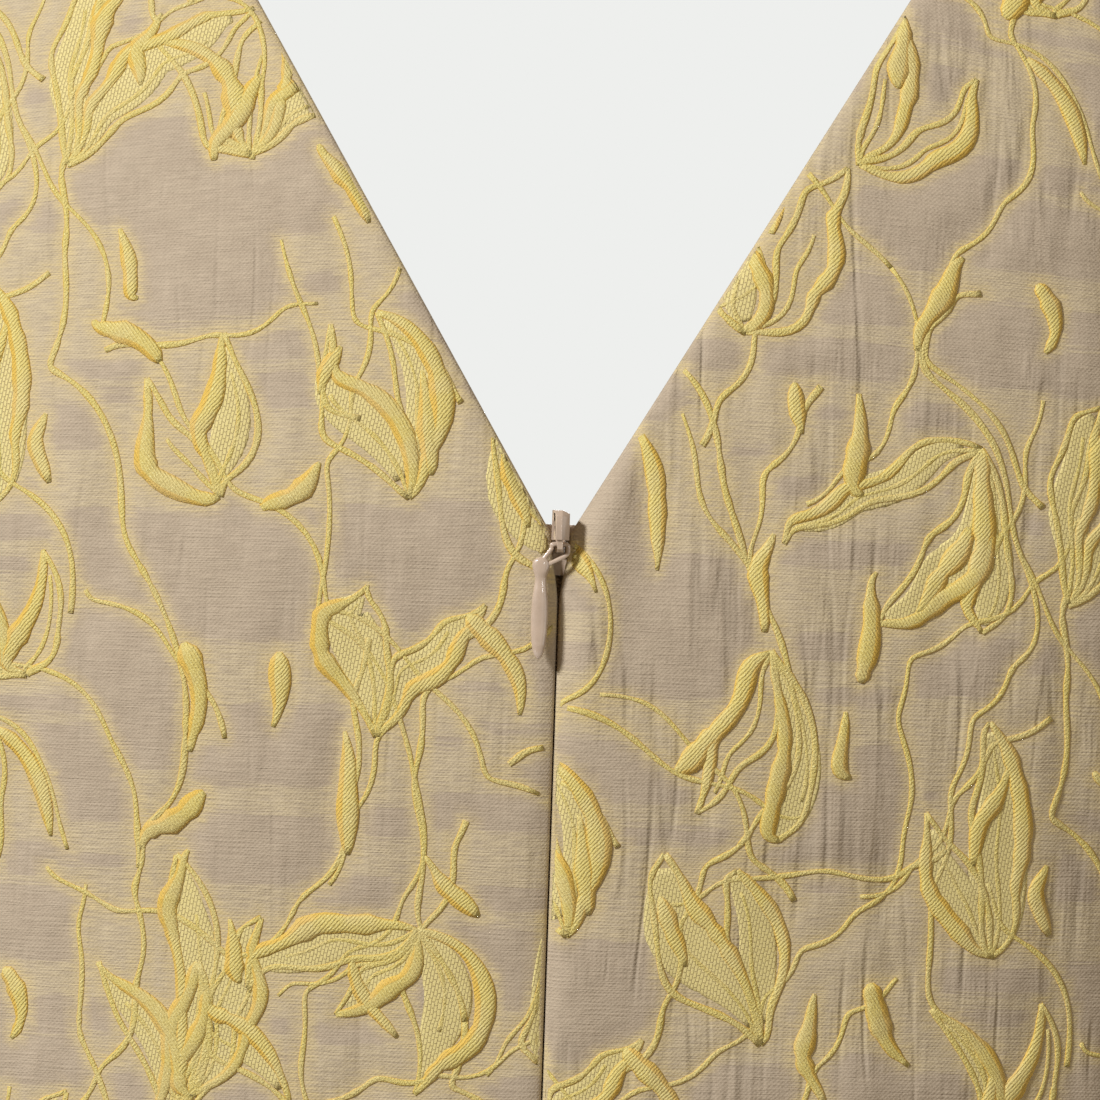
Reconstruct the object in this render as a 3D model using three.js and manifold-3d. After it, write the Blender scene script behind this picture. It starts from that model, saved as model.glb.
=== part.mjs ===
// Sleeveless dress, worn and hollow: a V neck at the back over a concealed centre-back zip, a
// rounded V neck at the front, wide shoulders, a gently shaped bodice and a soft A-line skirt.
//
// Millimetres, +Z up. The wearer faces -Y, and +X is the wearer's left. The origin lies midway
// between the shoulders, at the height of the inner ends of the shoulder seams.
//
// The cloth is one surface worked out in two stretches. Below the underarm it is a stack of
// rings, from the LEVELS table. Above it, each ring point runs up along a curve that leaves the
// ring smoothly and arrives level at the shoulder seam. Each panel is a wall between lines on
// that surface.
import * as THREE from "three";
import { mergeVertices } from "three/addons/utils/BufferGeometryUtils.js";
import Module from "manifold-3d";

const wasm = await Module();
wasm.setup();

// ---------------------------------------------------------------- driving dimensions

const CLOTH = 1.5; // thickness of the faced jacquard
const SEAM_GAP = 0.3; // between two panels at a seam
const HEM = -1120; // height of the hem
const UNDERARM = -215; // height of the underarm points

// The outline at each level: half width, depth of the front and of the back from the side seams,
// and squareness (2 is an ellipse). fold is the depth of the skirt's soft folds.
const LEVELS = [
  { z: HEM, half: 262, front: 198, back: 202, square: 2.0, fold: 15 },
  { z: -1000, half: 247, front: 184, back: 188, square: 2.0, fold: 12.5 },
  { z: -860, half: 227, front: 166, back: 170, square: 2.0, fold: 8.5 },
  { z: -720, half: 206, front: 146, back: 151, square: 2.05, fold: 4.5 },
  { z: -590, half: 187, front: 128, back: 133, square: 2.1, fold: 1.5 },
  { z: -480, half: 163, front: 116, back: 109, square: 2.15, fold: 0.3 },
  { z: -390, half: 147, front: 111, back: 90, square: 2.2, fold: 0 },
  { z: -320, half: 152, front: 119, back: 91, square: 2.25, fold: 0 },
  { z: -262, half: 160, front: 128, back: 97, square: 2.3, fold: 0 },
  { z: UNDERARM, half: 166, front: 123, back: 103, square: 2.35, fold: 0 },
];

// The skirt's folds: whole waves round the hem, their share of the depth and their start.
const FOLDS = [
  { waves: 9, share: 0.62, start: 0.4 },
  { waves: 5, share: 0.28, start: 2.1 },
  { waves: 14, share: 0.16, start: 1.2 },
];

// The shoulder seam runs from the neck out to the tip, falling by SHOULDER_SLOPE.
const NECK_HALF = 97;
const TIP_HALF = 177;
const SHOULDER_SLOPE = 0.36;
// How far each curve's end tangents carry: up from the underarm, and in towards the seam.
const RISE = { back: 262, front: 232 };
const ROLL = { back: 270, front: 128 };

// Back neckline: two straight edges that meet in a V, held apart by the zip's slider.
const BACK_V = -170.5; // height where the two straight edges would meet
const V_SLOPE = 0.5925; // half width for each millimetre of height
const CORNER = 3; // height over BACK_V where the V's edges turn down into the zip
const SPREAD = 1.75; // half gap at that corner
const SPREAD_LENGTH = 13; // the zip's edges close again over this height
// Front neckline: a V with bowed sides, as a quarter of a superellipse.
const FRONT_DROP = 200;
const FRONT_BOW = 1.35;

// Armholes: how far they cut into the panel, where on the way up the foot's curve ends, how
// square that foot is, and what is left of the cut at the shoulder seam.
const ARMHOLE = {
  back: { cut: 0.22, foot: 0.36, square: 2.0, tip: 0.1 },
  front: { cut: 0.27, foot: 0.34, square: 2.1, tip: 0.08 },
};

// Grid lines. Rows below the underarm are heights; rows above it are shares of the way up.
const COLUMNS = 20;
const RINGS = [
  HEM, -1072, -1024, -976, -928, -880, -832, -784, -736, -688, -640, -592, -546, -502, -460,
  -422, -386, -350, -318, -290, -264, -238, UNDERARM,
];
const FRONT_RISE = [0.018, 0.05, 0.1, 0.16, 0.23, 0.31, 0.4, 0.5, 0.61, 0.72, 0.83, 0.92, 1];
const BACK_RISE_LOW = [0.012, 0.034, 0.062, 0.094, 0.118, 0.136, 0.149];
const BACK_RISE_HIGH = [0.2, 0.26, 0.33, 0.41, 0.5, 0.6, 0.7, 0.8, 0.9, 1];

// Zip: heights are measured from the middle of the slider's crown.
const ZIP_TOP = BACK_V + 4.4;
const ZIP_LENGTH = 520;
const ZIP_END = ZIP_TOP - ZIP_LENGTH;
// Distances from the centre line, and how far the tapes reach past the chain's two ends.
const TAPE = { inner: 1.2, outer: 12, thick: 0.6, top: -2, tail: 12 };
const CHAIN = { half: 2.1, thick: 1.8 };
const STOP = { half: 2.6, length: 6 };
// The slider's own frame: heights from the crown's middle, depths out from the cloth's face.
// The body runs behind the tapes, and the neck joins it to the crown and bites into both.
const SLIDER = { half: 3.6, top: 0.2, bottom: -9, thick: 3.4, wall: 0.9 };
const NECK = { wide: 1.6, top: 0.5, bottom: -4.9, bite: 0.2 };
// The crown: a plate cut off aslant at the top, over a narrow foot that ends in a web.
const CROWN = { half: 1.6, tall: 5.4, base: 0.3, reach: 4, brow: 1, shoulder: 1.1 };
const FOOT = { half: 0.5, tall: 2.2, web: 0.7, reach: 3.55, chamfer: 0.6 };
// The eye runs through from side to side, down to the web.
const EYE = { near: 1.05, far: 3.05, highNear: 1.3, highFar: 0.7 };
// A slot in the crown's left side, which slants in from a depth of FLANK.from on.
const SLOT = { depth: 0.7, wide: 0.5, tall: 3.2, out: 3.15, middle: 0.5 };
const FLANK = { from: 2.35, inset: 0.8 };
// The pull: a ring of square wire round the foot, drawn over to one side, and a drop. The ring's
// corners are measured from its hinge bar.
const WIRE = 0.8;
const CLEAR = 0.3; // between the slider's parts that move past each other
const RING_HALF = 1.5;
const RING = {
  left: [{ x: RING_HALF, z: 0 }, { x: RING_HALF, z: -0.9 }, { x: 3.1, z: -3 }],
  right: [{ x: -RING_HALF, z: 0 }, { x: -RING_HALF, z: -1.9 }, { x: 2.6, z: -4 }],
  corner: 0.8, // how far each length of wire runs on past its corners, in wires
};
const DROP = { middle: 3.3, top: -2.36, length: 18.5, half: 1.57, thick: 1.3, bevel: 0.35, inset: 0.4 };
// The drop's half width on its way down: a head round the ring, a waist, a belly, a blunt foot.
const DROP_WIDTHS = [
  { down: 0, width: 0.6 },
  { down: 0.03, width: 0.92 },
  { down: 0.08, width: 1.08 },
  { down: 0.13, width: 0.98 },
  { down: 0.19, width: 0.67 },
  { down: 0.23, width: 0.65 },
  { down: 0.32, width: 0.78 },
  { down: 0.44, width: 0.94 },
  { down: 0.6, width: 1 },
  { down: 0.75, width: 0.94 },
  { down: 0.87, width: 0.8 },
  { down: 0.95, width: 0.62 },
  { down: 1, width: 0.3 },
];

// ---------------------------------------------------------------- materials

const finish = (colour, roughness, metalness = 0) =>
  new THREE.MeshStandardMaterial({ color: colour, roughness, metalness });
const CLOTH_FINISH = finish(0xc3a878, 0.8);
const TAPE_FINISH = finish(0xb79c82, 0.85);
const NYLON_FINISH = finish(0xb59a80, 0.45);
const LACQUER_FINISH = finish(0xc2a793, 0.3, 0.1);

// ---------------------------------------------------------------- the cloth's surface

// Smooth reading of a column of LEVELS at height z: a cubic through the rows on each side, with
// each row's slope taken from its neighbours.
function level(z, column) {
  const rows = LEVELS;
  let k = 0;
  while (k < rows.length - 2 && z > rows[k + 1].z) k += 1;
  const slope = (i) => {
    const a = rows[Math.max(i - 1, 0)];
    const b = rows[Math.min(i + 1, rows.length - 1)];
    return (b[column] - a[column]) / (b.z - a.z);
  };
  const span = rows[k + 1].z - rows[k].z;
  const t = (z - rows[k].z) / span;
  const t2 = t * t;
  const t3 = t2 * t;
  return (
    (2 * t3 - 3 * t2 + 1) * rows[k][column] +
    (t3 - 2 * t2 + t) * span * slope(k) +
    (3 * t2 - 2 * t3) * rows[k + 1][column] +
    (t3 - t2) * span * slope(k + 1)
  );
}

// One quarter of the ring at height z as a table of points and lengths from the centre line.
const quarters = new Map();
function quarter(z, face) {
  const key = `${face}:${z.toFixed(4)}`;
  if (quarters.has(key)) return quarters.get(key);
  const half = level(z, "half");
  const depth = level(z, face);
  const power = 2 / level(z, "square");
  const count = 90;
  const points = [];
  let length = 0;
  for (let i = 0; i <= count; i += 1) {
    const angle = (i / count) * (Math.PI / 2);
    const x = half * Math.sin(angle) ** power;
    const y = depth * Math.cos(angle) ** power;
    if (i > 0) length += Math.hypot(x - points[i - 1].x, y - points[i - 1].y);
    points.push({ x, y, length });
  }
  // The ring runs straight across at the centre line and straight back at the side seam.
  points.forEach((point, i) => {
    const before = points[i - 1] ?? { x: -points[1].x, y: points[1].y };
    const after = points[i + 1] ?? { x: points[count - 1].x, y: -points[count - 1].y };
    point.along = new THREE.Vector2(after.x - before.x, after.y - before.y).normalize();
  });
  const made = { points, length };
  quarters.set(key, made);
  return made;
}

// The ring point at share c of the way from the centre line to the side seam. side is +1 on the
// wearer's left, face is "back" or "front".
function ringPoint(side, face, c, z) {
  const ring = quarter(z, face);
  const wanted = Math.min(Math.max(c, 0), 1) * ring.length;
  let i = 1;
  while (i < ring.points.length - 1 && ring.points[i].length < wanted) i += 1;
  const a = ring.points[i - 1];
  const b = ring.points[i];
  const t = (wanted - a.length) / (b.length - a.length || 1);
  const away = face === "back" ? 1 : -1;
  const turn = (face === "back" ? c : 2 - c) * side * (Math.PI / 2);
  const wave = FOLDS.reduce((sum, f) => sum + f.share * Math.cos(f.waves * turn + f.start), 0);
  const push = level(z, "fold") * wave;
  // Folds push the cloth out along the ring's own normal.
  const along = a.along.clone().lerp(b.along, t).normalize();
  const x = a.x + (b.x - a.x) * t - along.y * push;
  const y = a.y + (b.y - a.y) * t + along.x * push;
  return new THREE.Vector3(side * x, away * y, z);
}

// A point of the cloth. q is a height below the underarm, and UNDERARM + share above it.
function clothPoint(side, face, c, q) {
  if (c < 0) return clothPoint(-side, face, -c, q);
  if (c > 1 && q <= UNDERARM) return clothPoint(side, face === "back" ? "front" : "back", 2 - c, q);
  if (q <= UNDERARM) return ringPoint(side, face, c, q);
  const t = q - UNDERARM;
  const away = face === "back" ? 1 : -1;
  const start = ringPoint(side, face, c, UNDERARM);
  const below = ringPoint(side, face, c, UNDERARM - 1);
  const leave = start.clone().sub(below).multiplyScalar(RISE[face]);
  const endX = c * TIP_HALF;
  const end = new THREE.Vector3(side * endX, 0, -(endX - NECK_HALF) * SHOULDER_SLOPE);
  const arrive = new THREE.Vector3(0, -away * ROLL[face], 0);
  const t2 = t * t;
  const t3 = t2 * t;
  return start
    .multiplyScalar(2 * t3 - 3 * t2 + 1)
    .addScaledVector(leave, t3 - 2 * t2 + t)
    .addScaledVector(end, 3 * t2 - 2 * t3)
    .addScaledVector(arrive, t3 - t2);
}

// The cloth's outward normal, from small steps across and up.
function clothNormal(side, face, c, q) {
  const dc = 0.004;
  const above = q > UNDERARM;
  const dq = above ? 0.004 : 0.6;
  const low = above ? Math.max(q - dq, UNDERARM + 1e-9) : q - dq;
  const high = above ? Math.min(q + dq, UNDERARM + 1) : Math.min(q + dq, UNDERARM);
  const right = above ? Math.min(c + dc, 1) : c + dc;
  const across = clothPoint(side, face, right, q).sub(clothPoint(side, face, c - dc, q));
  const up = clothPoint(side, face, c, high).sub(clothPoint(side, face, c, low));
  const normal = across.cross(up).normalize();
  return normal.multiplyScalar(side * (face === "back" ? -1 : 1));
}

// The share c, between low and high, where test changes sign.
function solve(test, low, high) {
  let a = low;
  let b = high;
  for (let i = 0; i < 40; i += 1) {
    const middle = (a + b) / 2;
    if (test(middle) < 0) a = middle;
    else b = middle;
  }
  return (a + b) / 2;
}

// Half the gap between the two back panels at height z: a seam, opened by the slider.
function halfGap(z) {
  const t = THREE.MathUtils.smoothstep(z, BACK_V + CORNER - SPREAD_LENGTH, BACK_V + CORNER);
  return SEAM_GAP / 2 + (SPREAD - SEAM_GAP / 2) * t;
}

// Where a panel starts: the share c of the centre edge or of the neckline in row q.
function innerEdge(face, q) {
  if (face === "front") {
    return solve((c) => {
      const p = clothPoint(1, face, c, q);
      const drop = Math.max(-p.z, 0) / FRONT_DROP;
      return (p.x / NECK_HALF) ** FRONT_BOW + drop ** FRONT_BOW - 1;
    }, 0, 0.9);
  }
  return solve((c) => {
    const p = clothPoint(1, face, c, q);
    return p.x - Math.max(halfGap(p.z), V_SLOPE * (p.z - BACK_V));
  }, 0, 0.9);
}

// Where a panel ends: the share c of the side seam or of the armhole in row q.
function outerEdge(face, q) {
  if (q <= UNDERARM) return 1 - SEAM_GAP / 2 / quarter(q, face).length;
  const { cut, foot, square, tip } = ARMHOLE[face];
  const t = Math.min(q - UNDERARM, 1);
  const share = t < foot
    ? (1 - (1 - t / foot) ** square) ** (1 / square)
    : 1 - (1 - tip) * THREE.MathUtils.smoothstep(t, foot, 1);
  return 1 - cut * share;
}

// ---------------------------------------------------------------- walls

// A grid of cloth points, each with its normal: rows from the hem up, columns from the centre
// out. The top row stops half a seam gap short of the shoulder line.
function panelGrid(side, face, rows) {
  return rows.map((q) => {
    const top = q >= UNDERARM + 1;
    const row = top ? UNDERARM + 1 - SEAM_GAP / 2 / ROLL[face] : q;
    const from = innerEdge(face, q);
    const to = outerEdge(face, q);
    return Array.from({ length: COLUMNS + 1 }, (_, i) => {
      const c = from + ((to - from) * i) / COLUMNS;
      return { point: clothPoint(side, face, c, row), normal: clothNormal(side, face, c, row) };
    });
  });
}

// A closed wall from grids of outer points: the inner skin lies depth below the outer one along
// the normals, and a rim closes every edge that only one cell has. raise moves both skins.
function wall(grids, depth, raise = 0) {
  const vertices = [];
  const numbers = new Map();
  const number = ({ point, normal }) => {
    const key = point.toArray().map((v) => Math.round(v * 1000)).join();
    if (!numbers.has(key)) {
      numbers.set(key, vertices.length / 2);
      vertices.push(point.clone().addScaledVector(normal, raise));
      vertices.push(point.clone().addScaledVector(normal, raise - depth));
    }
    return numbers.get(key);
  };
  const cells = [];
  for (const grid of grids) {
    for (let j = 0; j + 1 < grid.length; j += 1) {
      for (let i = 0; i + 1 < grid[j].length; i += 1) {
        const corners = [grid[j][i], grid[j][i + 1], grid[j + 1][i + 1], grid[j + 1][i]];
        const [a, b, , d] = corners.map((corner) => corner.point);
        const facing = b.clone().sub(a).cross(d.clone().sub(a)).dot(corners[0].normal);
        cells.push((facing > 0 ? corners : corners.reverse()).map(number));
      }
    }
  }
  const outer = (n) => 2 * n;
  const inner = (n) => 2 * n + 1;
  const used = new Set();
  cells.forEach((cell) => cell.forEach((n, k) => used.add(`${n}:${cell[(k + 1) % 4]}`)));
  const faces = [];
  const quad = (a, b, c, d) => faces.push(a, b, c, a, c, d);
  for (const cell of cells) {
    const [a, b, c, d] = cell;
    quad(outer(a), outer(b), outer(c), outer(d));
    quad(inner(d), inner(c), inner(b), inner(a));
    cell.forEach((n, k) => {
      const next = cell[(k + 1) % 4];
      if (!used.has(`${next}:${n}`)) quad(outer(n), inner(n), inner(next), outer(next));
    });
  }
  const geometry = new THREE.BufferGeometry();
  geometry.setAttribute(
    "position",
    new THREE.Float32BufferAttribute(vertices.flatMap((v) => v.toArray()), 3),
  );
  geometry.setIndex(faces);
  return geometry;
}

function named(name, geometry, material) {
  const mesh = new THREE.Mesh(geometry, material);
  mesh.name = name;
  return mesh;
}

// ---------------------------------------------------------------- panels

const up = (shares) => shares.map((t) => UNDERARM + t);
// The row of the back that passes height z on the centre line.
const backRow = (z) =>
  z <= UNDERARM
    ? z
    : UNDERARM + solve((t) => clothPoint(1, "back", 0, UNDERARM + t).z - z, 0, 1);
const cornerRow = backRow(BACK_V + CORNER);
const backRows = [...RINGS, ...up(BACK_RISE_LOW), cornerRow, ...up(BACK_RISE_HIGH)];
const frontRows = [...RINGS, ...up(FRONT_RISE)];

// The front is cut in one: its two halves share the centre column below the neckline.
function frontPanel() {
  const halves = [1, -1].map((side) => panelGrid(side, "front", frontRows));
  return named("front", wall(halves, CLOTH), CLOTH_FINISH);
}

function backPanel(name, side) {
  return named(name, wall([panelGrid(side, "back", backRows)], CLOTH), CLOTH_FINISH);
}

// ---------------------------------------------------------------- zip

// The point and normal of the back between two of its own rows, so that what lies on the back
// keeps its distance from the panels' flat cells.
function onBack(x, q) {
  const next = Math.max(backRows.findIndex((row) => row >= q), 1);
  const [low, high] = [backRows[next - 1], backRows[next]];
  const share = (q - low) / (high - low);
  const [a, b] = [low, high].map((row) => {
    const c = x / quarter(Math.min(row, UNDERARM), "back").length;
    return { point: clothPoint(1, "back", c, row), normal: clothNormal(1, "back", c, row) };
  });
  return { point: a.point.lerp(b.point, share), normal: a.normal.lerp(b.normal, share).normalize() };
}

// A strip behind the centre back, between two distances from the centre line.
function strip(name, [xFrom, xTo], top, bottom, raise, depth, material) {
  const ends = [backRow(bottom), backRow(top)];
  const rows = [ends[0], ...backRows.filter((q) => q > ends[0] + 0.01 && q < ends[1] - 0.01), ends[1]];
  const grid = rows.map((q) => [xFrom, xTo].map((x) => onBack(x, q)));
  return named(name, wall([grid], depth, raise), material);
}

const behind = (gaps) => -(CLOTH + gaps);
const tapeFace = behind(SEAM_GAP);
const chainFace = behind(2 * SEAM_GAP + TAPE.thick);

function zipTapes() {
  const tape = (name, a, b) =>
    strip(name, [a, b], ZIP_TOP + TAPE.top, ZIP_END - TAPE.tail, tapeFace, TAPE.thick, TAPE_FINISH);
  return [
    tape("zip_tape_left", TAPE.inner, TAPE.outer),
    tape("zip_tape_right", -TAPE.outer, -TAPE.inner),
  ];
}

// The frame of the slider: on the cloth's outer face at the centre back, +Y out of the back.
const sliderPlace = clothPoint(1, "back", 0, backRow(ZIP_TOP));
const sliderNormal = clothNormal(1, "back", 0, backRow(ZIP_TOP - SLIDER.top));
const sliderTilt = Math.atan2(sliderNormal.z, sliderNormal.y);

function zipChain() {
  const top = ZIP_TOP + SLIDER.bottom - SEAM_GAP;
  return [
    strip("zip_chain", [-CHAIN.half, CHAIN.half], top, ZIP_END, chainFace, CHAIN.thick,
      NYLON_FINISH),
    strip("zip_stop", [-STOP.half, STOP.half], ZIP_END - SEAM_GAP, ZIP_END - SEAM_GAP - STOP.length,
      chainFace, CHAIN.thick, LACQUER_FINISH),
  ];
}

function manifold(geometry) {
  const bare = geometry.index ? geometry.toNonIndexed() : geometry.clone();
  bare.deleteAttribute("normal");
  bare.deleteAttribute("uv");
  const merged = mergeVertices(bare, 1e-4);
  return new wasm.Manifold(new wasm.Mesh({
    numProp: 3,
    vertProperties: merged.attributes.position.array,
    triVerts: new Uint32Array(merged.index.array),
  }));
}

function fromManifold(solid) {
  const mesh = solid.getMesh();
  const geometry = new THREE.BufferGeometry();
  geometry.setAttribute("position", new THREE.BufferAttribute(new Float32Array(mesh.vertProperties), 3));
  geometry.setIndex(new THREE.BufferAttribute(new Uint32Array(mesh.triVerts), 1));
  return geometry;
}

// A plate from an outline in the Y-Z plane, running from x = -half to +half.
function plateAcross(outline, half) {
  const shape = new THREE.Shape(outline.map(([y, z]) => new THREE.Vector2(y, z)));
  const geometry = new THREE.ExtrudeGeometry(shape, { depth: 2 * half, bevelEnabled: false });
  geometry.translate(0, 0, -half);
  // The shape's x is Y, its y is Z and its depth is X.
  geometry.applyMatrix4(new THREE.Matrix4().set(0, 0, 1, 0, 1, 0, 0, 0, 0, 1, 0, 0, 0, 0, 0, 1));
  return geometry;
}

// A plate from an outline in the X-Y plane, running from z = -half to +half.
function plateUp(outline, half) {
  const shape = new THREE.Shape(outline.map(([x, y]) => new THREE.Vector2(x, y)));
  const geometry = new THREE.ExtrudeGeometry(shape, { depth: 2 * half, bevelEnabled: false });
  return geometry.translate(0, 0, -half);
}

const block = (x, y, z, width, depth, height) =>
  manifold(new THREE.BoxGeometry(width, depth, height).translate(x, y, z));

// The slider: a body behind the tapes with a channel for the chain, a neck between the tapes and
// a crown outside. The crown's eye runs through from side to side.
function zipSlider() {
  const { half, top, bottom, thick, wall: skin } = SLIDER;
  const length = top - bottom;
  const back = chainFace - thick / 2;
  const body = block(0, back, (top + bottom) / 2, 2 * half, thick, length)
    .subtract(block(0, back, bottom, 2 * (half - skin), thick - 2 * skin, length));
  const [nearEnd, farEnd] = [chainFace - NECK.bite, EYE.near + NECK.bite];
  const stem = block(0, (nearEnd + farEnd) / 2, (NECK.top + NECK.bottom) / 2,
    NECK.wide, farEnd - nearEnd, NECK.top - NECK.bottom);
  const { half: wide, tall, base, reach, brow, shoulder } = CROWN;
  const low = -tall / 2;
  const high = tall / 2;
  const footLow = low - FOOT.tall;
  const beyond = 1; // how far each cut runs out of the crown
  const outline = [
    [base, footLow], [FOOT.reach - FOOT.chamfer, footLow], [FOOT.reach, footLow + FOOT.chamfer],
    [FOOT.reach, low], [reach, low], [reach, high - shoulder], [reach - brow, high], [base, high],
  ];
  const eye = [
    [EYE.near, footLow + FOOT.web], [EYE.far, footLow + FOOT.web],
    [EYE.far, EYE.highFar], [EYE.near, EYE.highNear],
  ];
  const slant = FLANK.inset / (reach - FLANK.from);
  const flank = [
    [wide, FLANK.from], [wide + beyond, FLANK.from], [wide + beyond, reach + beyond],
    [wide - slant * (reach + beyond - FLANK.from), reach + beyond],
  ];
  const slot = block(wide + (beyond - SLOT.depth) / 2, SLOT.out, SLOT.middle,
    SLOT.depth + beyond, SLOT.wide, SLOT.tall);
  const beside = (side) =>
    block(side * (FOOT.half + wide / 2), reach / 2, low - FOOT.tall / 2 - beyond / 2,
      wide, reach + beyond, FOOT.tall + beyond);
  const crown = manifold(plateAcross(outline, wide))
    .subtract(manifold(plateAcross(eye, wide + beyond)))
    .subtract(manifold(plateUp(flank, tall + FOOT.tall)))
    .subtract(slot)
    .subtract(beside(1))
    .subtract(beside(-1));
  return named("zip_slider", fromManifold(body.add(stem).add(crown)), LACQUER_FINISH);
}

// The pull turns about the top bar of its ring, which hangs in the eye just under the plate.
const HINGE = {
  y: (EYE.near + EYE.far) / 2,
  z: -CROWN.tall / 2 - CLEAR - WIRE / 2,
};

function zipPull() {
  // A length of wire whose square ends run on far enough to close the corners.
  const bar = (from, to) => {
    const long = Math.hypot(to.x - from.x, to.z - from.z) + RING.corner * WIRE;
    const geometry = new THREE.BoxGeometry(long, WIRE, WIRE);
    geometry.rotateY(-Math.atan2(to.z - from.z, to.x - from.x));
    return manifold(geometry.translate((from.x + to.x) / 2, 0, (from.z + to.z) / 2));
  };
  const loop = [...RING.left, ...[...RING.right].reverse()];
  const ringSolid = loop
    .map((from, i) => bar(from, loop[(i + 1) % loop.length]))
    .reduce((solid, length) => solid.add(length));
  const { middle, top, length, half, thick, bevel, inset } = DROP;
  const outline = DROP_WIDTHS.map(
    ({ down, width }) => new THREE.Vector2(width * half, -down * length),
  );
  const other = [...outline].reverse().map((v) => new THREE.Vector2(-v.x, v.y));
  const core = thick - 2 * bevel;
  const drop = new THREE.ExtrudeGeometry(new THREE.Shape([...outline, ...other]), {
    depth: core, bevelEnabled: true, bevelThickness: bevel, bevelSize: inset,
    bevelOffset: -inset, bevelSegments: 2,
  });
  // Drawn in X-Y and extruded along Z: stand it up so that the drop hangs along -Z.
  drop.translate(0, 0, -core / 2);
  drop.rotateX(Math.PI / 2);
  drop.translate(middle, 0, top);
  const mesh = named("zip_pull", fromManifold(ringSolid.add(manifold(drop))), LACQUER_FINISH);
  mesh.position.set(0, HINGE.y, HINGE.z);
  mesh.rotation.x = -sliderTilt; // it hangs straight down
  return mesh;
}

// ---------------------------------------------------------------- the dress

const dress = new THREE.Group();
dress.add(frontPanel(), backPanel("back_left", 1), backPanel("back_right", -1));
dress.add(...zipTapes(), ...zipChain());
const slider = new THREE.Group();
slider.position.copy(sliderPlace);
slider.rotation.x = sliderTilt;
slider.add(zipSlider(), zipPull());
dress.add(slider);

export default dress;
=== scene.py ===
"""A worn, hollow sleeveless dress of raised jacquard with a concealed back zip.

Laid out as an add-on and run as a script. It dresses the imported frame: three panels of cloth with
the woven pattern raised on them, the zip, a floor and studio lights. Working sizes are
millimetres in the frame's axes, and meshes are metres.
"""

import math
from functools import lru_cache
from types import SimpleNamespace

import bmesh
import bpy
import numpy as np
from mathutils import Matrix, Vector


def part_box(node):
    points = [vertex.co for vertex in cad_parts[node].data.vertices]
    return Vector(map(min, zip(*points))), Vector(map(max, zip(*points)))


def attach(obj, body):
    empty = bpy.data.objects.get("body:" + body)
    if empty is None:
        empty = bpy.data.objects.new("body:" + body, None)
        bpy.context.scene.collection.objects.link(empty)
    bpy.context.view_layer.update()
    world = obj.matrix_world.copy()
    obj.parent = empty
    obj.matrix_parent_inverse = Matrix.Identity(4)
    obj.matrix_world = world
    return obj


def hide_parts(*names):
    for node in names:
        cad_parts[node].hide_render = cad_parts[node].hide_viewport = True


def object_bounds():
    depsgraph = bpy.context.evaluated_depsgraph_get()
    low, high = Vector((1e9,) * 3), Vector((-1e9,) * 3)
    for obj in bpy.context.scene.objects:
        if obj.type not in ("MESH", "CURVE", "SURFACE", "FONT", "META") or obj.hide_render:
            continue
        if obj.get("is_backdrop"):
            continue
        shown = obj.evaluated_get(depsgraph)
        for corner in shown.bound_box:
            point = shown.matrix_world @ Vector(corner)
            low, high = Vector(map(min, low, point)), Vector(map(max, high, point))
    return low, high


bl_info = {
    "name": "Jacquard Dress",
    "version": (1, 0, 0),
    "blender": (4, 5, 0),
    "location": "3D View > Sidebar > Dress",
    "description": "Cloth, raised pattern, zip and studio for a sleeveless jacquard dress",
    "category": "Object",
}

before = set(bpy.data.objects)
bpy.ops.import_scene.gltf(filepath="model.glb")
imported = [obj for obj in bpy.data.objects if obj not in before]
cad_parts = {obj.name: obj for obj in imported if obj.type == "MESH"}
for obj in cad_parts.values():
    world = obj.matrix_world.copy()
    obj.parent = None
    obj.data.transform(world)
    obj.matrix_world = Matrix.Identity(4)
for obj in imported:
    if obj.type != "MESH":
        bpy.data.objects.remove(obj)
CAD_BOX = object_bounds()
MM = 0.001


def srgb(red, green, blue):
    """Linear values of a colour given as it shows on screen, 0 to 255."""
    return tuple(
        c / 12.92 if c <= 0.04045 else ((c + 0.055) / 1.055) ** 2.4
        for c in (red / 255, green / 255, blue / 255)
    )


def unit(vectors):
    """Vectors along the last axis, each divided by its length."""
    return vectors / np.linalg.norm(vectors, axis=-1, keepdims=True)


def blended(table, x, y, u, v):
    """A table that repeats, read between the four cells from whole places x and y by u and v."""
    rows, columns = table.shape
    read = lambda i, j: table[(y + j) % rows, (x + i) % columns]
    return ((read(0, 0) * (1 - u) + read(1, 0) * u) * (1 - v)
            + (read(0, 1) * (1 - u) + read(1, 1) * u) * v)


def walked(points, axis=0):
    """Distances walked along points from the first, on an axis, by straight steps."""
    steps = np.linalg.norm(np.diff(points, axis=axis), axis=-1)
    return np.concatenate([np.zeros_like(steps.take([0], axis)), np.cumsum(steps, axis=axis)], axis)


def capped(size):
    """Corner numbers of the triangles that close an outline of size points."""
    return np.stack([np.zeros(size - 2, int), np.arange(1, size - 1), np.arange(2, size)], -1)


def add(name, data):
    """An object in the scene."""
    made = bpy.data.objects.new(name, data)
    bpy.context.scene.collection.objects.link(made)
    return made


def link_or_set(tree, inputs, key, value):
    """Joins a socket to an input, or sets the input to a value."""
    if isinstance(value, bpy.types.NodeSocket):
        tree.links.new(value, inputs[key])
    else:
        inputs[key].default_value = value


# ------------------------------------------------------------------ the cut of the dress

SEAM_GAP = 0.3
HEM = -1120.0
UNDERARM = -215.0
CLOTH = 1.3  # how deep the shell's inner face lies

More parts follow.
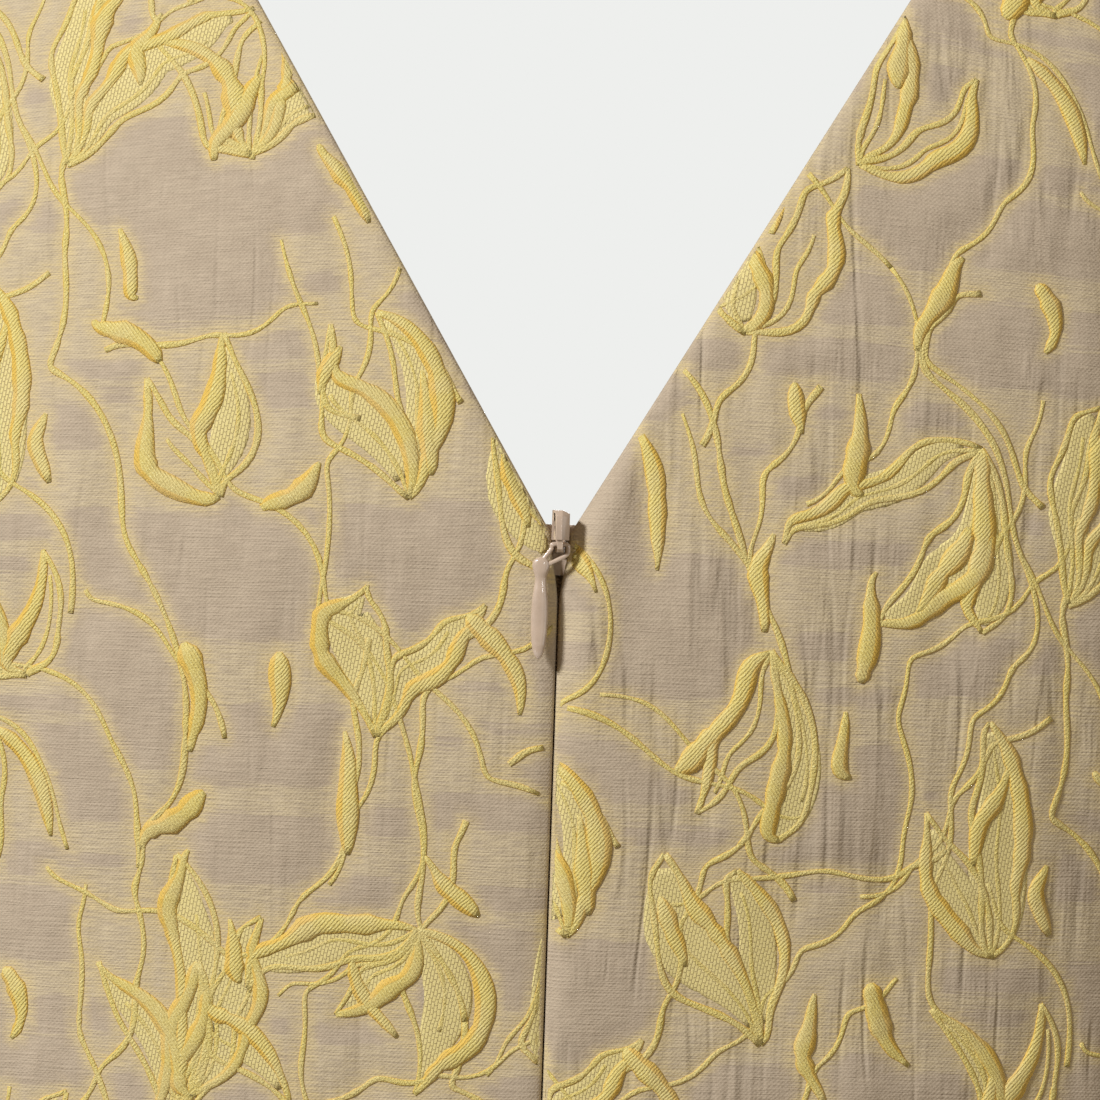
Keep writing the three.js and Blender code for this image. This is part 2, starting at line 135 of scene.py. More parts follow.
# The outline at each level: half width, depth of front and back, squareness, depth of the folds.
LEVELS = {
    "z": np.array([HEM, -1000, -860, -720, -590, -480, -390, -320, -262, UNDERARM]),
    "half": np.array([262.0, 247, 227, 206, 187, 163, 147, 152, 160, 166]),
    "front": np.array([198.0, 184, 166, 146, 128, 116, 111, 119, 128, 123]),
    "back": np.array([202.0, 188, 170, 151, 133, 109, 90, 91, 97, 103]),
    "square": np.array([2.0, 2.0, 2.0, 2.05, 2.1, 2.15, 2.2, 2.25, 2.3, 2.35]),
    "fold": np.array([15.0, 12.5, 8.5, 4.5, 1.5, 0.3, 0, 0, 0, 0]),
}
FOLDS = ({"waves": 9, "share": 0.62, "start": 0.4}, {"waves": 5, "share": 0.28, "start": 2.1},
         {"waves": 14, "share": 0.16, "start": 1.2})
NECK_HALF = 97.0
TIP_HALF = 177.0
SHOULDER_SLOPE = 0.36
RISE = {"back": 262.0, "front": 232.0}
ROLL = {"back": 270.0, "front": 128.0}
BACK_V = -170.5
V_SLOPE = 0.5925
CORNER = 3.0
SPREAD = 1.75
SPREAD_LENGTH = 13.0
FRONT_DROP = 200.0
FRONT_BOW = 1.35
ARMHOLE = {
    "back": {"cut": 0.22, "foot": 0.36, "square": 2.0, "tip": 0.1},
    "front": {"cut": 0.27, "foot": 0.34, "square": 2.1, "tip": 0.08},
}


def smoothstep(value, low, high):
    """0 below low, 1 above high, and a smooth cubic between."""
    t = np.clip((value - low) / (high - low), 0, 1)
    return t * t * (3 - 2 * t)


def hermite(t, start, end, leave, arrive):
    """The cubic that leaves start with one tangent and arrives at end with another."""
    t2, t3 = t * t, t * t * t
    return ((2 * t3 - 3 * t2 + 1) * start + (t3 - 2 * t2 + t) * leave
            + (3 * t2 - 2 * t3) * end + (t3 - t2) * arrive)


def level(z, column):
    """A column of LEVELS at heights z: a cubic between rows, with slopes from their neighbours."""
    rows, values = LEVELS["z"], LEVELS[column]
    slopes = np.empty_like(values)
    slopes[1:-1] = (values[2:] - values[:-2]) / (rows[2:] - rows[:-2])
    slopes[[0, -1]] = (values[[1, -1]] - values[[0, -2]]) / (rows[[1, -1]] - rows[[0, -2]])
    k = np.clip(np.searchsorted(rows, z) - 1, 0, len(rows) - 2)
    span = rows[k + 1] - rows[k]
    t = (z - rows[k]) / span
    return hermite(t, values[k], values[k + 1], span * slopes[k], span * slopes[k + 1])


RING_POINTS = 91  # of a quarter of the ring
SHARE_STEPS = np.linspace(0, 1, 81)  # places across a panel at which a row is measured
LADDER = {"below": 1200, "above": 900}  # rows measured below and above the underarm


def quarter(heights, face):
    """A quarter of the ring at each height: a superellipse, its lengths and its directions."""
    angle = np.linspace(0, np.pi / 2, RING_POINTS)
    power = (2 / level(heights, "square"))[:, None]
    x = level(heights, "half")[:, None] * np.sin(angle) ** power
    y = level(heights, face)[:, None] * np.cos(angle) ** power
    length = np.zeros_like(x)
    length[:, 1:] = np.cumsum(np.hypot(np.diff(x), np.diff(y)), axis=1)
    wide_x = np.hstack([-x[:, 1:2], x, x[:, -2:-1]])
    wide_y = np.hstack([y[:, 1:2], y, -y[:, -2:-1]])
    along = np.stack([wide_x[:, 2:] - wide_x[:, :-2], wide_y[:, 2:] - wide_y[:, :-2]], axis=-1)
    return x, y, length, unit(along)


def ring(side, face, share, z):
    """Ring points at a share of the way from the centre line to the side seam, by arc length.

    The folds, a sum of waves round the body, push each point out along the ring's normal.
    """
    heights, row = np.unique(z, return_inverse=True)
    row = row.reshape(z.shape)
    x, y, length, along = quarter(heights, face)
    keys = (length / length[:, -1:] + 2 * np.arange(len(heights))[:, None]).ravel()
    wanted = np.clip(share, 0, 1) + 2 * row
    read = [np.interp(wanted, keys, table.ravel()) for table in (x, y, along[..., 0], along[..., 1])]
    turn = (share if face == "back" else 2 - share) * side * np.pi / 2
    wave = sum(f["share"] * np.cos(f["waves"] * turn + f["start"]) for f in FOLDS)
    push = level(heights, "fold")[row] * wave
    away = 1 if face == "back" else -1
    return np.stack([side * (read[0] - read[3] * push), away * (read[1] + read[2] * push), z], -1)


def cloth(side, face, share, row):
    """Points of the cloth. A row is a height up to the underarm, and UNDERARM plus a share above.

    Above the underarm each point follows a cubic that leaves the ring along its slope and
    arrives level at the shoulder seam.
    """
    share, row = np.broadcast_arrays(np.asarray(share, float), np.asarray(row, float))
    rise = np.clip(row - UNDERARM, 0, 1)[..., None]
    base = np.full(row.shape, UNDERARM)
    start = ring(side, face, share, base)
    leave = (start - ring(side, face, share, base - 1)) * RISE[face]
    out = share * TIP_HALF
    end = np.stack([side * out, 0 * out, -(out - NECK_HALF) * SHOULDER_SLOPE], -1)
    away = 1 if face == "back" else -1
    high = hermite(rise, start, end, leave, np.array([0, -away * ROLL[face], 0]))
    low = ring(side, face, share, np.minimum(row, UNDERARM))
    return np.where((row > UNDERARM)[..., None], high, low)


def halving(test, like, low, high):
    """Where test changes sign between low and high, for each entry of an array, by halving."""
    a, b = np.full(like.shape, float(low)), np.full(like.shape, float(high))
    for _ in range(40):
        middle = (a + b) / 2
        below = test(middle) < 0
        a, b = np.where(below, middle, a), np.where(below, b, middle)
    return (a + b) / 2


def inner_edge(face, rows):
    """The share at which a panel starts: the neckline, or the centre edge below it."""
    if face == "front":
        def test(share):
            point = cloth(1, face, share, rows)
            out = np.maximum(point[:, 0], 0) / NECK_HALF
            drop = np.maximum(-point[:, 2], 0) / FRONT_DROP
            return out ** FRONT_BOW + drop ** FRONT_BOW - 1
    else:
        def test(share):
            point = cloth(1, face, share, rows)
            corner = BACK_V + CORNER
            open_at = smoothstep(point[:, 2], corner - SPREAD_LENGTH, corner)
            gap = SEAM_GAP / 2 + (SPREAD - SEAM_GAP / 2) * open_at
            return point[:, 0] - np.maximum(gap, V_SLOPE * (point[:, 2] - BACK_V))
    return halving(test, rows, 0, 0.9)


def outer_edge(face, rows):
    """The share at which a panel ends: the side seam, or the armhole above it."""
    cut = ARMHOLE[face]
    t = np.clip(rows - UNDERARM, 0, 1)
    foot = (1 - (1 - np.minimum(t / cut["foot"], 1)) ** cut["square"]) ** (1 / cut["square"])
    back_out = 1 - (1 - cut["tip"]) * smoothstep(t, cut["foot"], 1)
    length = quarter(np.minimum(rows, UNDERARM), face)[2][:, -1]
    seam = 1 - SEAM_GAP / 2 / length
    arm = 1 - cut["cut"] * np.where(t < cut["foot"], foot, back_out)
    return np.where(rows <= UNDERARM, seam, arm)


# ------------------------------------------------------------------ noise

LATTICE = 128  # values each way before a lattice repeats


@lru_cache(maxsize=None)
def lattice(seed):
    """A square table of random values from -1 to 1 that repeats."""
    return np.random.default_rng(seed).uniform(-1, 1, (LATTICE, LATTICE))


def noise(x, y, seed):
    """Smooth noise: a seeded lattice of random values, blended with smooth steps."""
    x0, y0 = np.floor(x).astype(int), np.floor(y).astype(int)
    u, v = x - x0, y - y0
    return blended(lattice(seed), x0, y0, u * u * (3 - 2 * u), v * v * (3 - 2 * v))


# ------------------------------------------------------------------ the woven pattern

# One repeat of the pattern, to the right and up, as the cloth is seen from outside.
TILE_WIDE = 156.0
TILE_HIGH = 212.0
SPACING = 1.2  # between the sections of a raised line

# Stems climb through the whole repeat: where they start, how many repeats they move across,
# how far and how often they sway, and their width.
STEMS = [
    {"x": 10, "lean": 0, "sway": 13, "waves": 1, "phase": 0.05, "width": 1.15},
    {"x": 34, "lean": 1, "sway": 9, "waves": 2, "phase": 0.35, "width": 0.95},
    {"x": 58, "lean": 0, "sway": 10, "waves": 2, "phase": 0.90, "width": 1.0},
    {"x": 84, "lean": 0, "sway": 17, "waves": 1, "phase": 0.60, "width": 1.2},
    {"x": 112, "lean": -1, "sway": 9, "waves": 1, "phase": 0.20, "width": 0.95},
    {"x": 138, "lean": 0, "sway": 9, "waves": 2, "phase": 0.80, "width": 1.05},
]
# Shoots, sprays and dabs are scattered, one to each cell of a grid over the repeat. Their sizes
# lie between two limits. Headings are in degrees from the horizontal, and bends are total turns.
SHOOTS = {"cells": (5, 5), "heading": (15, 165), "length": (34, 58), "bend": (-65, 65)}
SPRAYS = {"cells": (3, 5), "heading": (62, 118), "length": (32, 43), "leaves": (2, 4), "fan": 33}
DABS = {"cells": (5, 8), "heading": (50, 130), "length": (9, 21), "bend": (-36, 36), "width": (3.0, 4.5)}
# Of a leaf: half breadth against its length, and width of its heavy side.
LEAF = {"breadth": (0.11, 0.2), "heavy": (2.6, 4.5)}
# Slow waves that move every line, so that no curve stays regular: size, whole waves across and
# up the repeat, and start.
DRIFTS = [
    {"size": 2.4, "across": 2, "up": 3, "start": 0.1}, {"size": 1.7, "across": -3, "up": 4, "start": 0.6},
    {"size": 1.1, "across": 6, "up": -5, "start": 0.35}, {"size": 0.6, "across": 9, "up": 11, "start": 0.8},
]
# A raised line from side to side: place across its width and height over the ground.
LINE_SECTION = {
    "across": np.array([-1, -0.88, -0.45, 0, 0.45, 0.88, 1]),
    "up": np.array([-0.3, 0.5, 0.92, 1, 0.92, 0.5, -0.3]),
}
FAR_SECTION = {"across": np.array([-1, -0.5, 0.5, 1]), "up": np.array([-0.3, 1.3, 1.3, -0.3])}
# A net's underside has points of its own, so that it follows the cloth in a hollow.
NET_SECTION = {
    "across": np.concatenate([np.linspace(-1, 1, 9), np.linspace(0.6, -0.6, 4)]),
    "up": np.array([-1, 1, 1, 1, 1, 1, 1, 1, -1, -1, -1, -1, -1]),
}
FAR_NET_SECTION = {
    "across": np.array([-1, -0.5, 0, 0.5, 1, 0]), "up": np.array([-1, 1.8, 1.8, 1.8, -1, -2.2]),
}
NET_LIFT = 0.15
# Haze: how close the lines on its two sides are at most, how high its steps are, how many are
# drawn for each strip, and how many strips the repeat has.
HAZE = {"closer": (2, 24), "step": (5, 14), "steps": 60, "strips": 6, "seed": 5}
PATTERN_SEED = 21
HALO_REACH = 1.3  # how far a line's halo reaches over the ground
EDGE_INSET = 0.5  # raised lines keep this far from an edge
EDGE_FADE = 1.1  # and sink into the cloth over this distance before it
SUNK = 0.4  # how deep, as a share of their height


def bent_line(x, y, heading, length, bend):
    """A line whose heading turns evenly from its foot to its tip. Angles are in degrees."""
    count = max(int(round(length / SPACING)), 4) + 1
    t = np.linspace(0, 1, count)
    angle = np.radians(heading + bend * (t - 0.5))
    step = np.stack([np.cos(angle), np.sin(angle)], -1) * (length / (count - 1))
    return np.array([x, y], float) + np.cumsum(step, axis=0) - step[0], t


def laterals(points):
    """Unit directions to the right of a line at each of its points."""
    tangent = unit(np.gradient(points, axis=0))
    return np.stack([tangent[:, 1], -tangent[:, 0]], -1)


def drifted(points):
    """Points moved by the sum of DRIFTS, waves that repeat with the cloth."""
    moved = points.copy()
    for wave in DRIFTS:
        turns = points @ [wave["across"] / TILE_WIDE, wave["up"] / TILE_HIGH] + wave["start"]
        angle = 2 * np.pi * turns
        moved += wave["size"] * np.stack([np.sin(angle), np.cos(angle + wave["across"])], -1)
    return moved


SIDEWAYS = 0.3  # how far shoots, leaves and dabs move sideways. Stems and nets don't
WOBBLE = {"long": 7, "seed": 11}
SWELL = {"share": 0.3, "long": 2.1, "seed": 12}
LINE_LIFT = {"least": 0.12, "share": 0.17}  # a line's height: its least, and its share of the width


def strand(points, width, kind, number, wobble):
    """One raised line, made uneven: noise along it moves it sideways and swells its width.

    Its height grows with its width, but a net has the height NET_LIFT. A line's number picks its
    own row of the noise.
    """
    points = drifted(points)
    lateral = laterals(points)
    walk = np.arange(len(points)) * SPACING
    shift = wobble * noise(walk / WOBBLE["long"], np.full(len(walk), number * 3.7), WOBBLE["seed"])
    swell = 1 + SWELL["share"] * noise(
        walk / SWELL["long"], np.full(len(walk), number * 5.3), SWELL["seed"])
    lift = LINE_LIFT["least"] + LINE_LIFT["share"] * width
    height = np.full(len(points), NET_LIFT) if kind else lift * (0.5 + 0.5 * swell)
    return {
        "centre": points + lateral * shift[:, None],
        "lateral": lateral,
        "width": width if kind else width * swell,
        "height": height,
        "kind": np.full(len(points), kind),
        "number": np.full(len(points), number),
    }


def scatter(form, random):
    """Places in one repeat with a heading, length and bend: one to each cell, rows staggered."""
    across, up = form["cells"]
    for j in range(up):
        for i in range(across):
            yield {
                "x": (i + 0.5 * (j % 2) + random.uniform(0.1, 0.8)) / across * TILE_WIDE,
                "y": (j + random.uniform(0.1, 0.8)) / up * TILE_HIGH,
                "heading": random.uniform(*form["heading"]) + random.choice([0, 0, 180]),
                "length": random.uniform(*form["length"]),
                "bend": random.uniform(*form.get("bend", (0, 0))),
            }


def leaf_lines(spray, turn, random):
    """The lines of one leaf of a spray, as points, widths and kinds.

    A leaf bends back towards its spray's heading. One side is a heavy stroke that thins out
    from a thick part, the other a thin line, and two leaves in three hold a net.
    """
    length = spray["length"] * random.uniform(0.72, 1.0)
    bend = -turn + random.uniform(-20, 20)
    points, t = bent_line(spray["x"], spray["y"], spray["heading"] + turn, length, bend)
    lateral = laterals(points)
    side = random.choice([-1, 1])
    belly = length * random.uniform(*LEAF["breadth"]) * np.sin(np.pi * t ** random.uniform(0.7, 1.2))
    other = belly * random.uniform(0.5, 1.0)
    thick = np.sin(np.pi * (0.04 + 0.94 * t ** random.uniform(0.5, 1.7))) ** 1.2
    heavy = 0.9 + (random.uniform(*LEAF["heavy"]) - 0.9) * thick
    inside = (t > 0.06) & (t < 0.94)
    middle = points + lateral * (side * (belly - other) / 2)[:, None]
    vein = t < random.uniform(0.6, 0.9)
    lines = [(middle[inside], (belly + other)[inside], 1)] if random.uniform() < 0.68 else []
    return lines + [
        (points + lateral * (side * belly)[:, None], heavy, 0),
        (points - lateral * (side * other)[:, None], 1.0 + 0.5 * (1 - t), 0),
        (points[vein], 1.0 - 0.35 * t[vein], 0),
    ]


@lru_cache(maxsize=None)
def tile_strands():
    """Every line of one repeat as arrays of sections, in order, numbered by line."""
    random = np.random.default_rng(PATTERN_SEED)
    lines = []
    for stem in STEMS:
        t = np.linspace(0, 1, int(TILE_HIGH / SPACING) + 1)
        sway = stem["sway"] * np.sin(2 * np.pi * (stem["waves"] * t + stem["phase"]))
        x = stem["x"] + stem["lean"] * TILE_WIDE * t + sway
        lines.append((np.stack([x, TILE_HIGH * t], -1), np.full(len(t), stem["width"]), 0))
    for shoot in scatter(SHOOTS, random):
        points, t = bent_line(**shoot)
        lines.append((points, 1.25 - 0.45 * t, 0))
    for spray in scatter(SPRAYS, random):
        leaves = random.integers(*SPRAYS["leaves"])
        for k in range(leaves):
            turn = (k - (leaves - 1) / 2) * SPRAYS["fan"] + random.uniform(-7, 7)
            lines += leaf_lines(spray, turn, random)
    for dab in scatter(DABS, random):
        points, t = bent_line(**dab)
        thick = np.sin(np.pi * (0.06 + 0.9 * t ** random.uniform(0.45, 1.2))) ** 0.75
        lines.append((points, random.uniform(*DABS["width"]) * thick, 0))
    strands = [strand(points, width, kind, number, 0 if kind or number < len(STEMS) else SIDEWAYS)
               for number, (points, width, kind) in enumerate(lines)]
    return {key: np.concatenate([s[key] for s in strands]) for key in strands[0]}


DISTANCE_REACH = 24  # how far up and down lines are looked for
CROSSED = 0.9  # a raster's cell nearer to a line than this is crossed by it


@lru_cache(maxsize=None)
def tile_fields():
    """Rasters of one repeat, a cell for each millimetre: distance to the nearest line, and haze.

    Haze marks stretches of weft that float on the face: those between two lines that lie close
    together. How close changes in random steps up the cloth, and from strip to strip.
    """
    lines = tile_strands()
    drawn = lines["kind"] == 0
    centre, half = lines["centre"][drawn], lines["width"][drawn] / 2
    columns = np.arange(int(TILE_WIDE)) + 0.5
    distance = np.empty((int(TILE_HIGH), int(TILE_WIDE)))
    for row in range(int(TILE_HIGH)):
        up = (centre[:, 1] - row - 0.5 + TILE_HIGH / 2) % TILE_HIGH - TILE_HIGH / 2
        near = np.abs(up) < DISTANCE_REACH
        side = (centre[near, 0] - columns[:, None] + TILE_WIDE / 2) % TILE_WIDE - TILE_WIDE / 2
        distance[row] = (np.hypot(side, up[near]) - half[near]).min(axis=1)
    distance = np.maximum(distance, 0)
    places = np.arange(3 * int(TILE_WIDE))
    crossed = np.tile(distance < CROSSED, 3)
    before = np.maximum.accumulate(np.where(crossed, places, -999), axis=1)
    after = np.minimum.accumulate(np.where(crossed, places, 999)[:, ::-1], axis=1)[:, ::-1]
    repeat = slice(int(TILE_WIDE), 2 * int(TILE_WIDE))
    gap, middle = (after - before)[:, repeat], ((after + before) // 2)[:, repeat]
    random = np.random.default_rng(HAZE["seed"])
    steps = HAZE["steps"]
    strips = [np.repeat(random.uniform(*HAZE["closer"], steps), random.integers(*HAZE["step"], steps))
              for _ in range(HAZE["strips"])]
    limits = np.stack([strip[:int(TILE_HIGH)] for strip in strips], -1)
    number = (middle % int(TILE_WIDE)) * HAZE["strips"] // int(TILE_WIDE)
    haze = (gap < np.take_along_axis(limits, number, axis=1)).astype(float)
    for axis in (0, 1):
        haze = (np.roll(haze, 1, axis) + 2 * haze + np.roll(haze, -1, axis)) / 4
    return {"distance": distance, "haze": haze}


def tile_read(field, right, up):
    """A raster of the repeat at places on the cloth, blended between cells."""
    x, y = right - 0.5, up - 0.5
    x0, y0 = np.floor(x).astype(int), np.floor(y).astype(int)
    return blended(tile_fields()[field], x0, y0, x - x0, y - y0)


# ------------------------------------------------------------------ panels

EDGE_STEPS = np.array([0, 0.8, 1.6, 2.6])  # grid lines close to each edge
GAUGE = 0.25  # distances up the cloth are measured along this share of the way round

# Each panel: the side of the wearer, how many grid lines it has, where its cloth lies in the
# repeat, and how crumpled it is.
PANELS = {
    "back_left": {"face": "back", "sides": (1,), "columns": 104, "right": 92.0, "up": 40.0,
                  "crumpled": 0.35},
    "back_right": {"face": "back", "sides": (-1,), "columns": 104, "right": 61.0, "up": 118.0,
                   "crumpled": 1.0},
    "front": {"face": "front", "sides": (1, -1), "columns": 60, "right": 30.0, "up": 75.0,
              "crumpled": 0.6},
}
# Rows of the grid: distance up from the underarm where a stretch starts, and the step there.
ROW_STEPS = {
    "back": [{"from": -1200, "step": 5.5}, {"from": -80, "step": 1.6}, {"from": 165, "step": 4.0}],
    "front": [{"from": -1200, "step": 7.0}, {"from": -40, "step": 5.0}],
}
# Creases: panel, middle right of the centre line and up from the underarm, length, lean from the
# vertical, width and depth. A depth below nought is a ridge.
CREASES = [
    ("back_right", 34, 62, 74, -6, 2.6, 0.40), ("back_right", 47, 38, 58, -3, 2.2, 0.35),
    ("back_right", 58, 70, 66, -9, 3.0, 0.40), ("back_right", 26, 14, 48, 2, 2.4, 0.30),
    ("back_right", 70, 30, 82, -5, 2.8, 0.45), ("back_right", 41, -28, 64, 4, 2.6, 0.35),
    ("back_right", 62, -18, 52, -2, 2.2, 0.40), ("back_right", 20, -40, 44, 3, 2.4, -0.30),
    ("back_right", 84, 66, 70, -7, 3.2, 0.45), ("back_right", 95, 10, 90, -4, 3.4, 0.50),
    ("back_right", 7, 42, 64, 0, 4.5, -1.4),
    ("back_right", 48, -260, 190, 3, 7.0, 0.9), ("back_right", 96, -420, 260, -4, 9.0, 1.1),
    ("back_right", 150, -300, 210, -6, 8.0, -0.8), ("back_right", 170, -640, 300, 2, 10.0, 1.2),
    ("back_right", 62, -720, 240, 5, 9.0, 1.0),
    ("back_left", -24, 30, 50, 5, 2.6, 0.30), ("back_left", -40, 2, 62, 7, 3.0, 0.35),
    ("back_left", -56, 58, 54, 8, 2.6, 0.30), ("back_left", -68, -14, 70, 5, 3.2, 0.40),
    ("back_left", -33, -44, 46, -3, 2.4, 0.30), ("back_left", -84, 42, 78, 9, 3.4, 0.40),
    ("back_left", -50, 96, 52, 10, 2.8, -0.30), ("back_left", -98, 4, 84, 4, 3.6, 0.45),
    ("back_left", -58, -330, 230, -3, 8.0, 1.0), ("back_left", -124, -250, 170, 5, 7.0, 0.8),
    ("back_left", -110, -560, 280, 3, 10.0, -1.0), ("back_left", -176, -480, 240, -5, 9.0, 1.1),
    ("back_left", -40, -690, 260, 2, 9.0, 1.0),
    ("front", 52, -60, 84, 6, 5.0, 0.6), ("front", -64, -36, 96, -9, 6.0, 0.7),
    ("front", 98, -10, 70, 14, 5.0, 0.6), ("front", -110, -84, 88, -5, 5.5, -0.5),
    ("front", 18, -210, 150, 4, 7.0, 0.8), ("front", -88, -330, 240, -3, 9.0, 1.1),
    ("front", 120, -380, 260, 5, 9.0, 1.0), ("front", -30, -620, 300, 2, 10.0, 1.2),
    ("front", 180, -560, 240, -4, 10.0, -1.0), ("front", -190, -520, 270, 6, 10.0, 1.1),
    ("front", 74, -740, 220, -3, 9.0, 1.0),
]


def ladder(face):
    """Rows of the cloth and their distances up from the underarm, along the gauge line."""
    below = np.linspace(HEM, UNDERARM, LADDER["below"])
    rows = np.concatenate([below, UNDERARM + np.linspace(0, 1, LADDER["above"])[1:]])
    line = cloth(1, face, GAUGE, rows)
    up = walked(line)
    return rows, up - np.interp(UNDERARM, rows, up)


def row_places(face):
    """Distances up of a panel's grid rows: close together at both ends, then in even steps."""
    rows, up = ladder(face)
    top = np.interp(UNDERARM + 1 - SEAM_GAP / 2 / ROLL[face], rows, up)
    low, high = up[0] + EDGE_STEPS[-1], top - EDGE_STEPS[-1]
    stretches = ROW_STEPS[face]
    starts = [max(s["from"], low) for s in stretches] + [high]
    inner = [np.linspace(a, b, max(int(round((b - a) / s["step"])), 1), endpoint=False)
             for a, b, s in zip(starts, starts[1:], stretches)]
    return np.concatenate([up[0] + EDGE_STEPS[:-1], *inner, top - EDGE_STEPS[::-1]])


def half_panel(side, face, columns):
    """The grid of a panel on one side: points, normals, and distances across and up.

    Rows follow the ladder. Columns divide each row's own length, so grid lines lie at fixed
    distances from both edges.
    """
    rows, up = ladder(face)
    places = row_places(face)
    row = np.interp(places, up, rows)
    start, end = inner_edge(face, row), outer_edge(face, row)
    line = cloth(side, face, SHARE_STEPS[None, :], row[:, None])
    length = walked(line, 1)
    order = np.arange(len(row))[:, None]
    keys = (length / length[:, -1:] + 2 * order).ravel()
    share_keys = (SHARE_STEPS[None, :] + 2 * order).ravel()
    first = np.interp(start + 2 * order[:, 0], share_keys, length.ravel())
    last = np.interp(end + 2 * order[:, 0], share_keys, length.ravel())
    edge = EDGE_STEPS[-1]
    middle = np.linspace(0, 1, columns - 2 * len(EDGE_STEPS) + 2)
    across = np.hstack([
        first[:, None] + EDGE_STEPS[:-1],
        first[:, None] + edge + (last - first - 2 * edge)[:, None] * middle,
        last[:, None] - EDGE_STEPS[-2::-1],
    ])
    share = np.interp(across / length[:, -1:] + 2 * order, keys, np.tile(SHARE_STEPS, len(row)))
    points = cloth(side, face, share, row[:, None])
    normals = unit(np.cross(np.gradient(points, axis=1), np.gradient(points, axis=0)))
    normals *= -side if face == "back" else side
    return SimpleNamespace(
        points=points, normals=normals, across=across, up=places, row=row,
        right=across * (-side if face == "back" else side), side=side, face=face,
    )


PUFF_REACH = 4.5  # how far from a line the ground has swelled
CRINKLES = {"wide": 6.5, "long": 42, "seed": 20}
SWAYS = {"wide": 31, "long": 60, "seed": 40, "high": 0.5}
# An edge's turn: how deep and wide it is, and how far from the edge the relief has faded in.
TURN = {"deep": 0.55, "wide": 1.4, "calm": 5}
FAR = 999  # a distance beyond any edge


def relief(name, half, settings):
    """How far the outer face of the cloth stands out from the cut's own surface.

    It puffs between the raised lines, has fine upright crinkles and the creases of CREASES, and
    turns down into every seam and round every free edge.
    """
    place = PANELS[name]
    right, up = half.right, np.broadcast_to(half.up[:, None], half.right.shape)
    away = tile_read("distance", right + place["right"], up + place["up"])
    height = settings.puff * (1 - np.exp(-((away / PUFF_REACH) ** 2)))
    for wave, size in ((CRINKLES, settings.crinkle), (SWAYS, SWAYS["high"])):
        seed = wave["seed"] + list(PANELS).index(name)
        height = height + size * noise(right / wave["wide"], up / wave["long"], seed)
    for panel, x, y, length, lean, width, depth in CREASES:
        if panel == name:
            angle = math.radians(lean)
            along = (up - y) * math.cos(angle) + (right - x) * math.sin(angle)
            beside = (right - x) * math.cos(angle) - (up - y) * math.sin(angle)
            reach = np.clip(1 - (2 * along / length) ** 2, 0, 1)
            height = height - depth * reach * np.exp(-((beside / width) ** 2))
    inner = half.across - half.across[:, :1]
    outer = half.across[:, -1:] - half.across
    foot = up - half.up[0]
    top = half.up[-1] - up
    if half.face == "front":
        closed = (half.across[:, :1] < 0.01)
        inner = np.where(closed, FAR, inner)
    edges = (inner, outer, foot, top)
    calm = smoothstep(np.minimum.reduce(edges), 0, TURN["calm"])
    turn = sum(np.exp(-((edge / TURN["wide"]) ** 2)) for edge in edges)
    return height * calm - TURN["deep"] * np.minimum(turn, 1)


@lru_cache(maxsize=None)
def dressed_halves(name):
    """A panel's halves, each with its outer face and its own relief."""
    settings = bpy.context.scene.dress_cloth
    halves = []
    for side in PANELS[name]["sides"]:
        half = half_panel(side, PANELS[name]["face"], PANELS[name]["columns"])
        half.outer = half.points + half.normals * relief(name, half, settings)[..., None]
        halves.append(half)
    return halves


def grid_quads(number):
    """The quads of a grid of point numbers."""
    quads = np.stack([number[:-1, :-1], number[:-1, 1:], number[1:, 1:], number[1:, :-1]], -1)
    return quads.reshape(-1, 4)


def grid_cells(half, first):
    """The quads of a half panel's grid, turned so that they face out.

    Each starts at its lowest, innermost corner, so that all are split along the same diagonal.
    """
    rows, columns = half.across.shape
    cells = grid_quads(np.arange(rows * columns).reshape(rows, columns) + first)
    turned = (half.side < 0) == (half.face == "front")
    return cells[:, [0, 3, 2, 1]] if turned else cells


def make_mesh(name, points, quads, triangles=None, uv=None, values=None, materials=(), index=None):
    """A mesh object from arrays, points in millimetres, with smooth faces."""
    triangles = np.empty((0, 3), int) if triangles is None else triangles
    corners = np.concatenate([quads.ravel(), triangles.ravel()])
    starts = np.concatenate([
        4 * np.arange(len(quads)), 4 * len(quads) + 3 * np.arange(len(triangles)),
    ])
    mesh = bpy.data.meshes.new(name)
    mesh.vertices.add(len(points))
    mesh.loops.add(len(corners))
    mesh.polygons.add(len(starts))
    mesh.vertices.foreach_set("co", (points * MM).astype(np.float32).ravel())
    mesh.loops.foreach_set("vertex_index", corners.astype(np.int32))
    mesh.polygons.foreach_set("loop_start", starts.astype(np.int32))
    if index is not None:
        mesh.polygons.foreach_set("material_index", index.astype(np.int32))
    mesh.update(calc_edges=True)
    mesh.polygons.foreach_set("use_smooth", np.ones(len(starts), bool))
    if uv is not None:
        layer = mesh.uv_layers.new(name="cloth")
        layer.uv.foreach_set("vector", (uv[corners] * MM).astype(np.float32).ravel())
    for key, value in (values or {}).items():
        mesh.attributes.new(key, "FLOAT", "POINT").data.foreach_set("value", value.astype(np.float32))
    for material in materials:
        mesh.materials.append(material)
    return add(name, mesh)


RIM_ROUND = 0.35  # how far both faces end short of a free edge


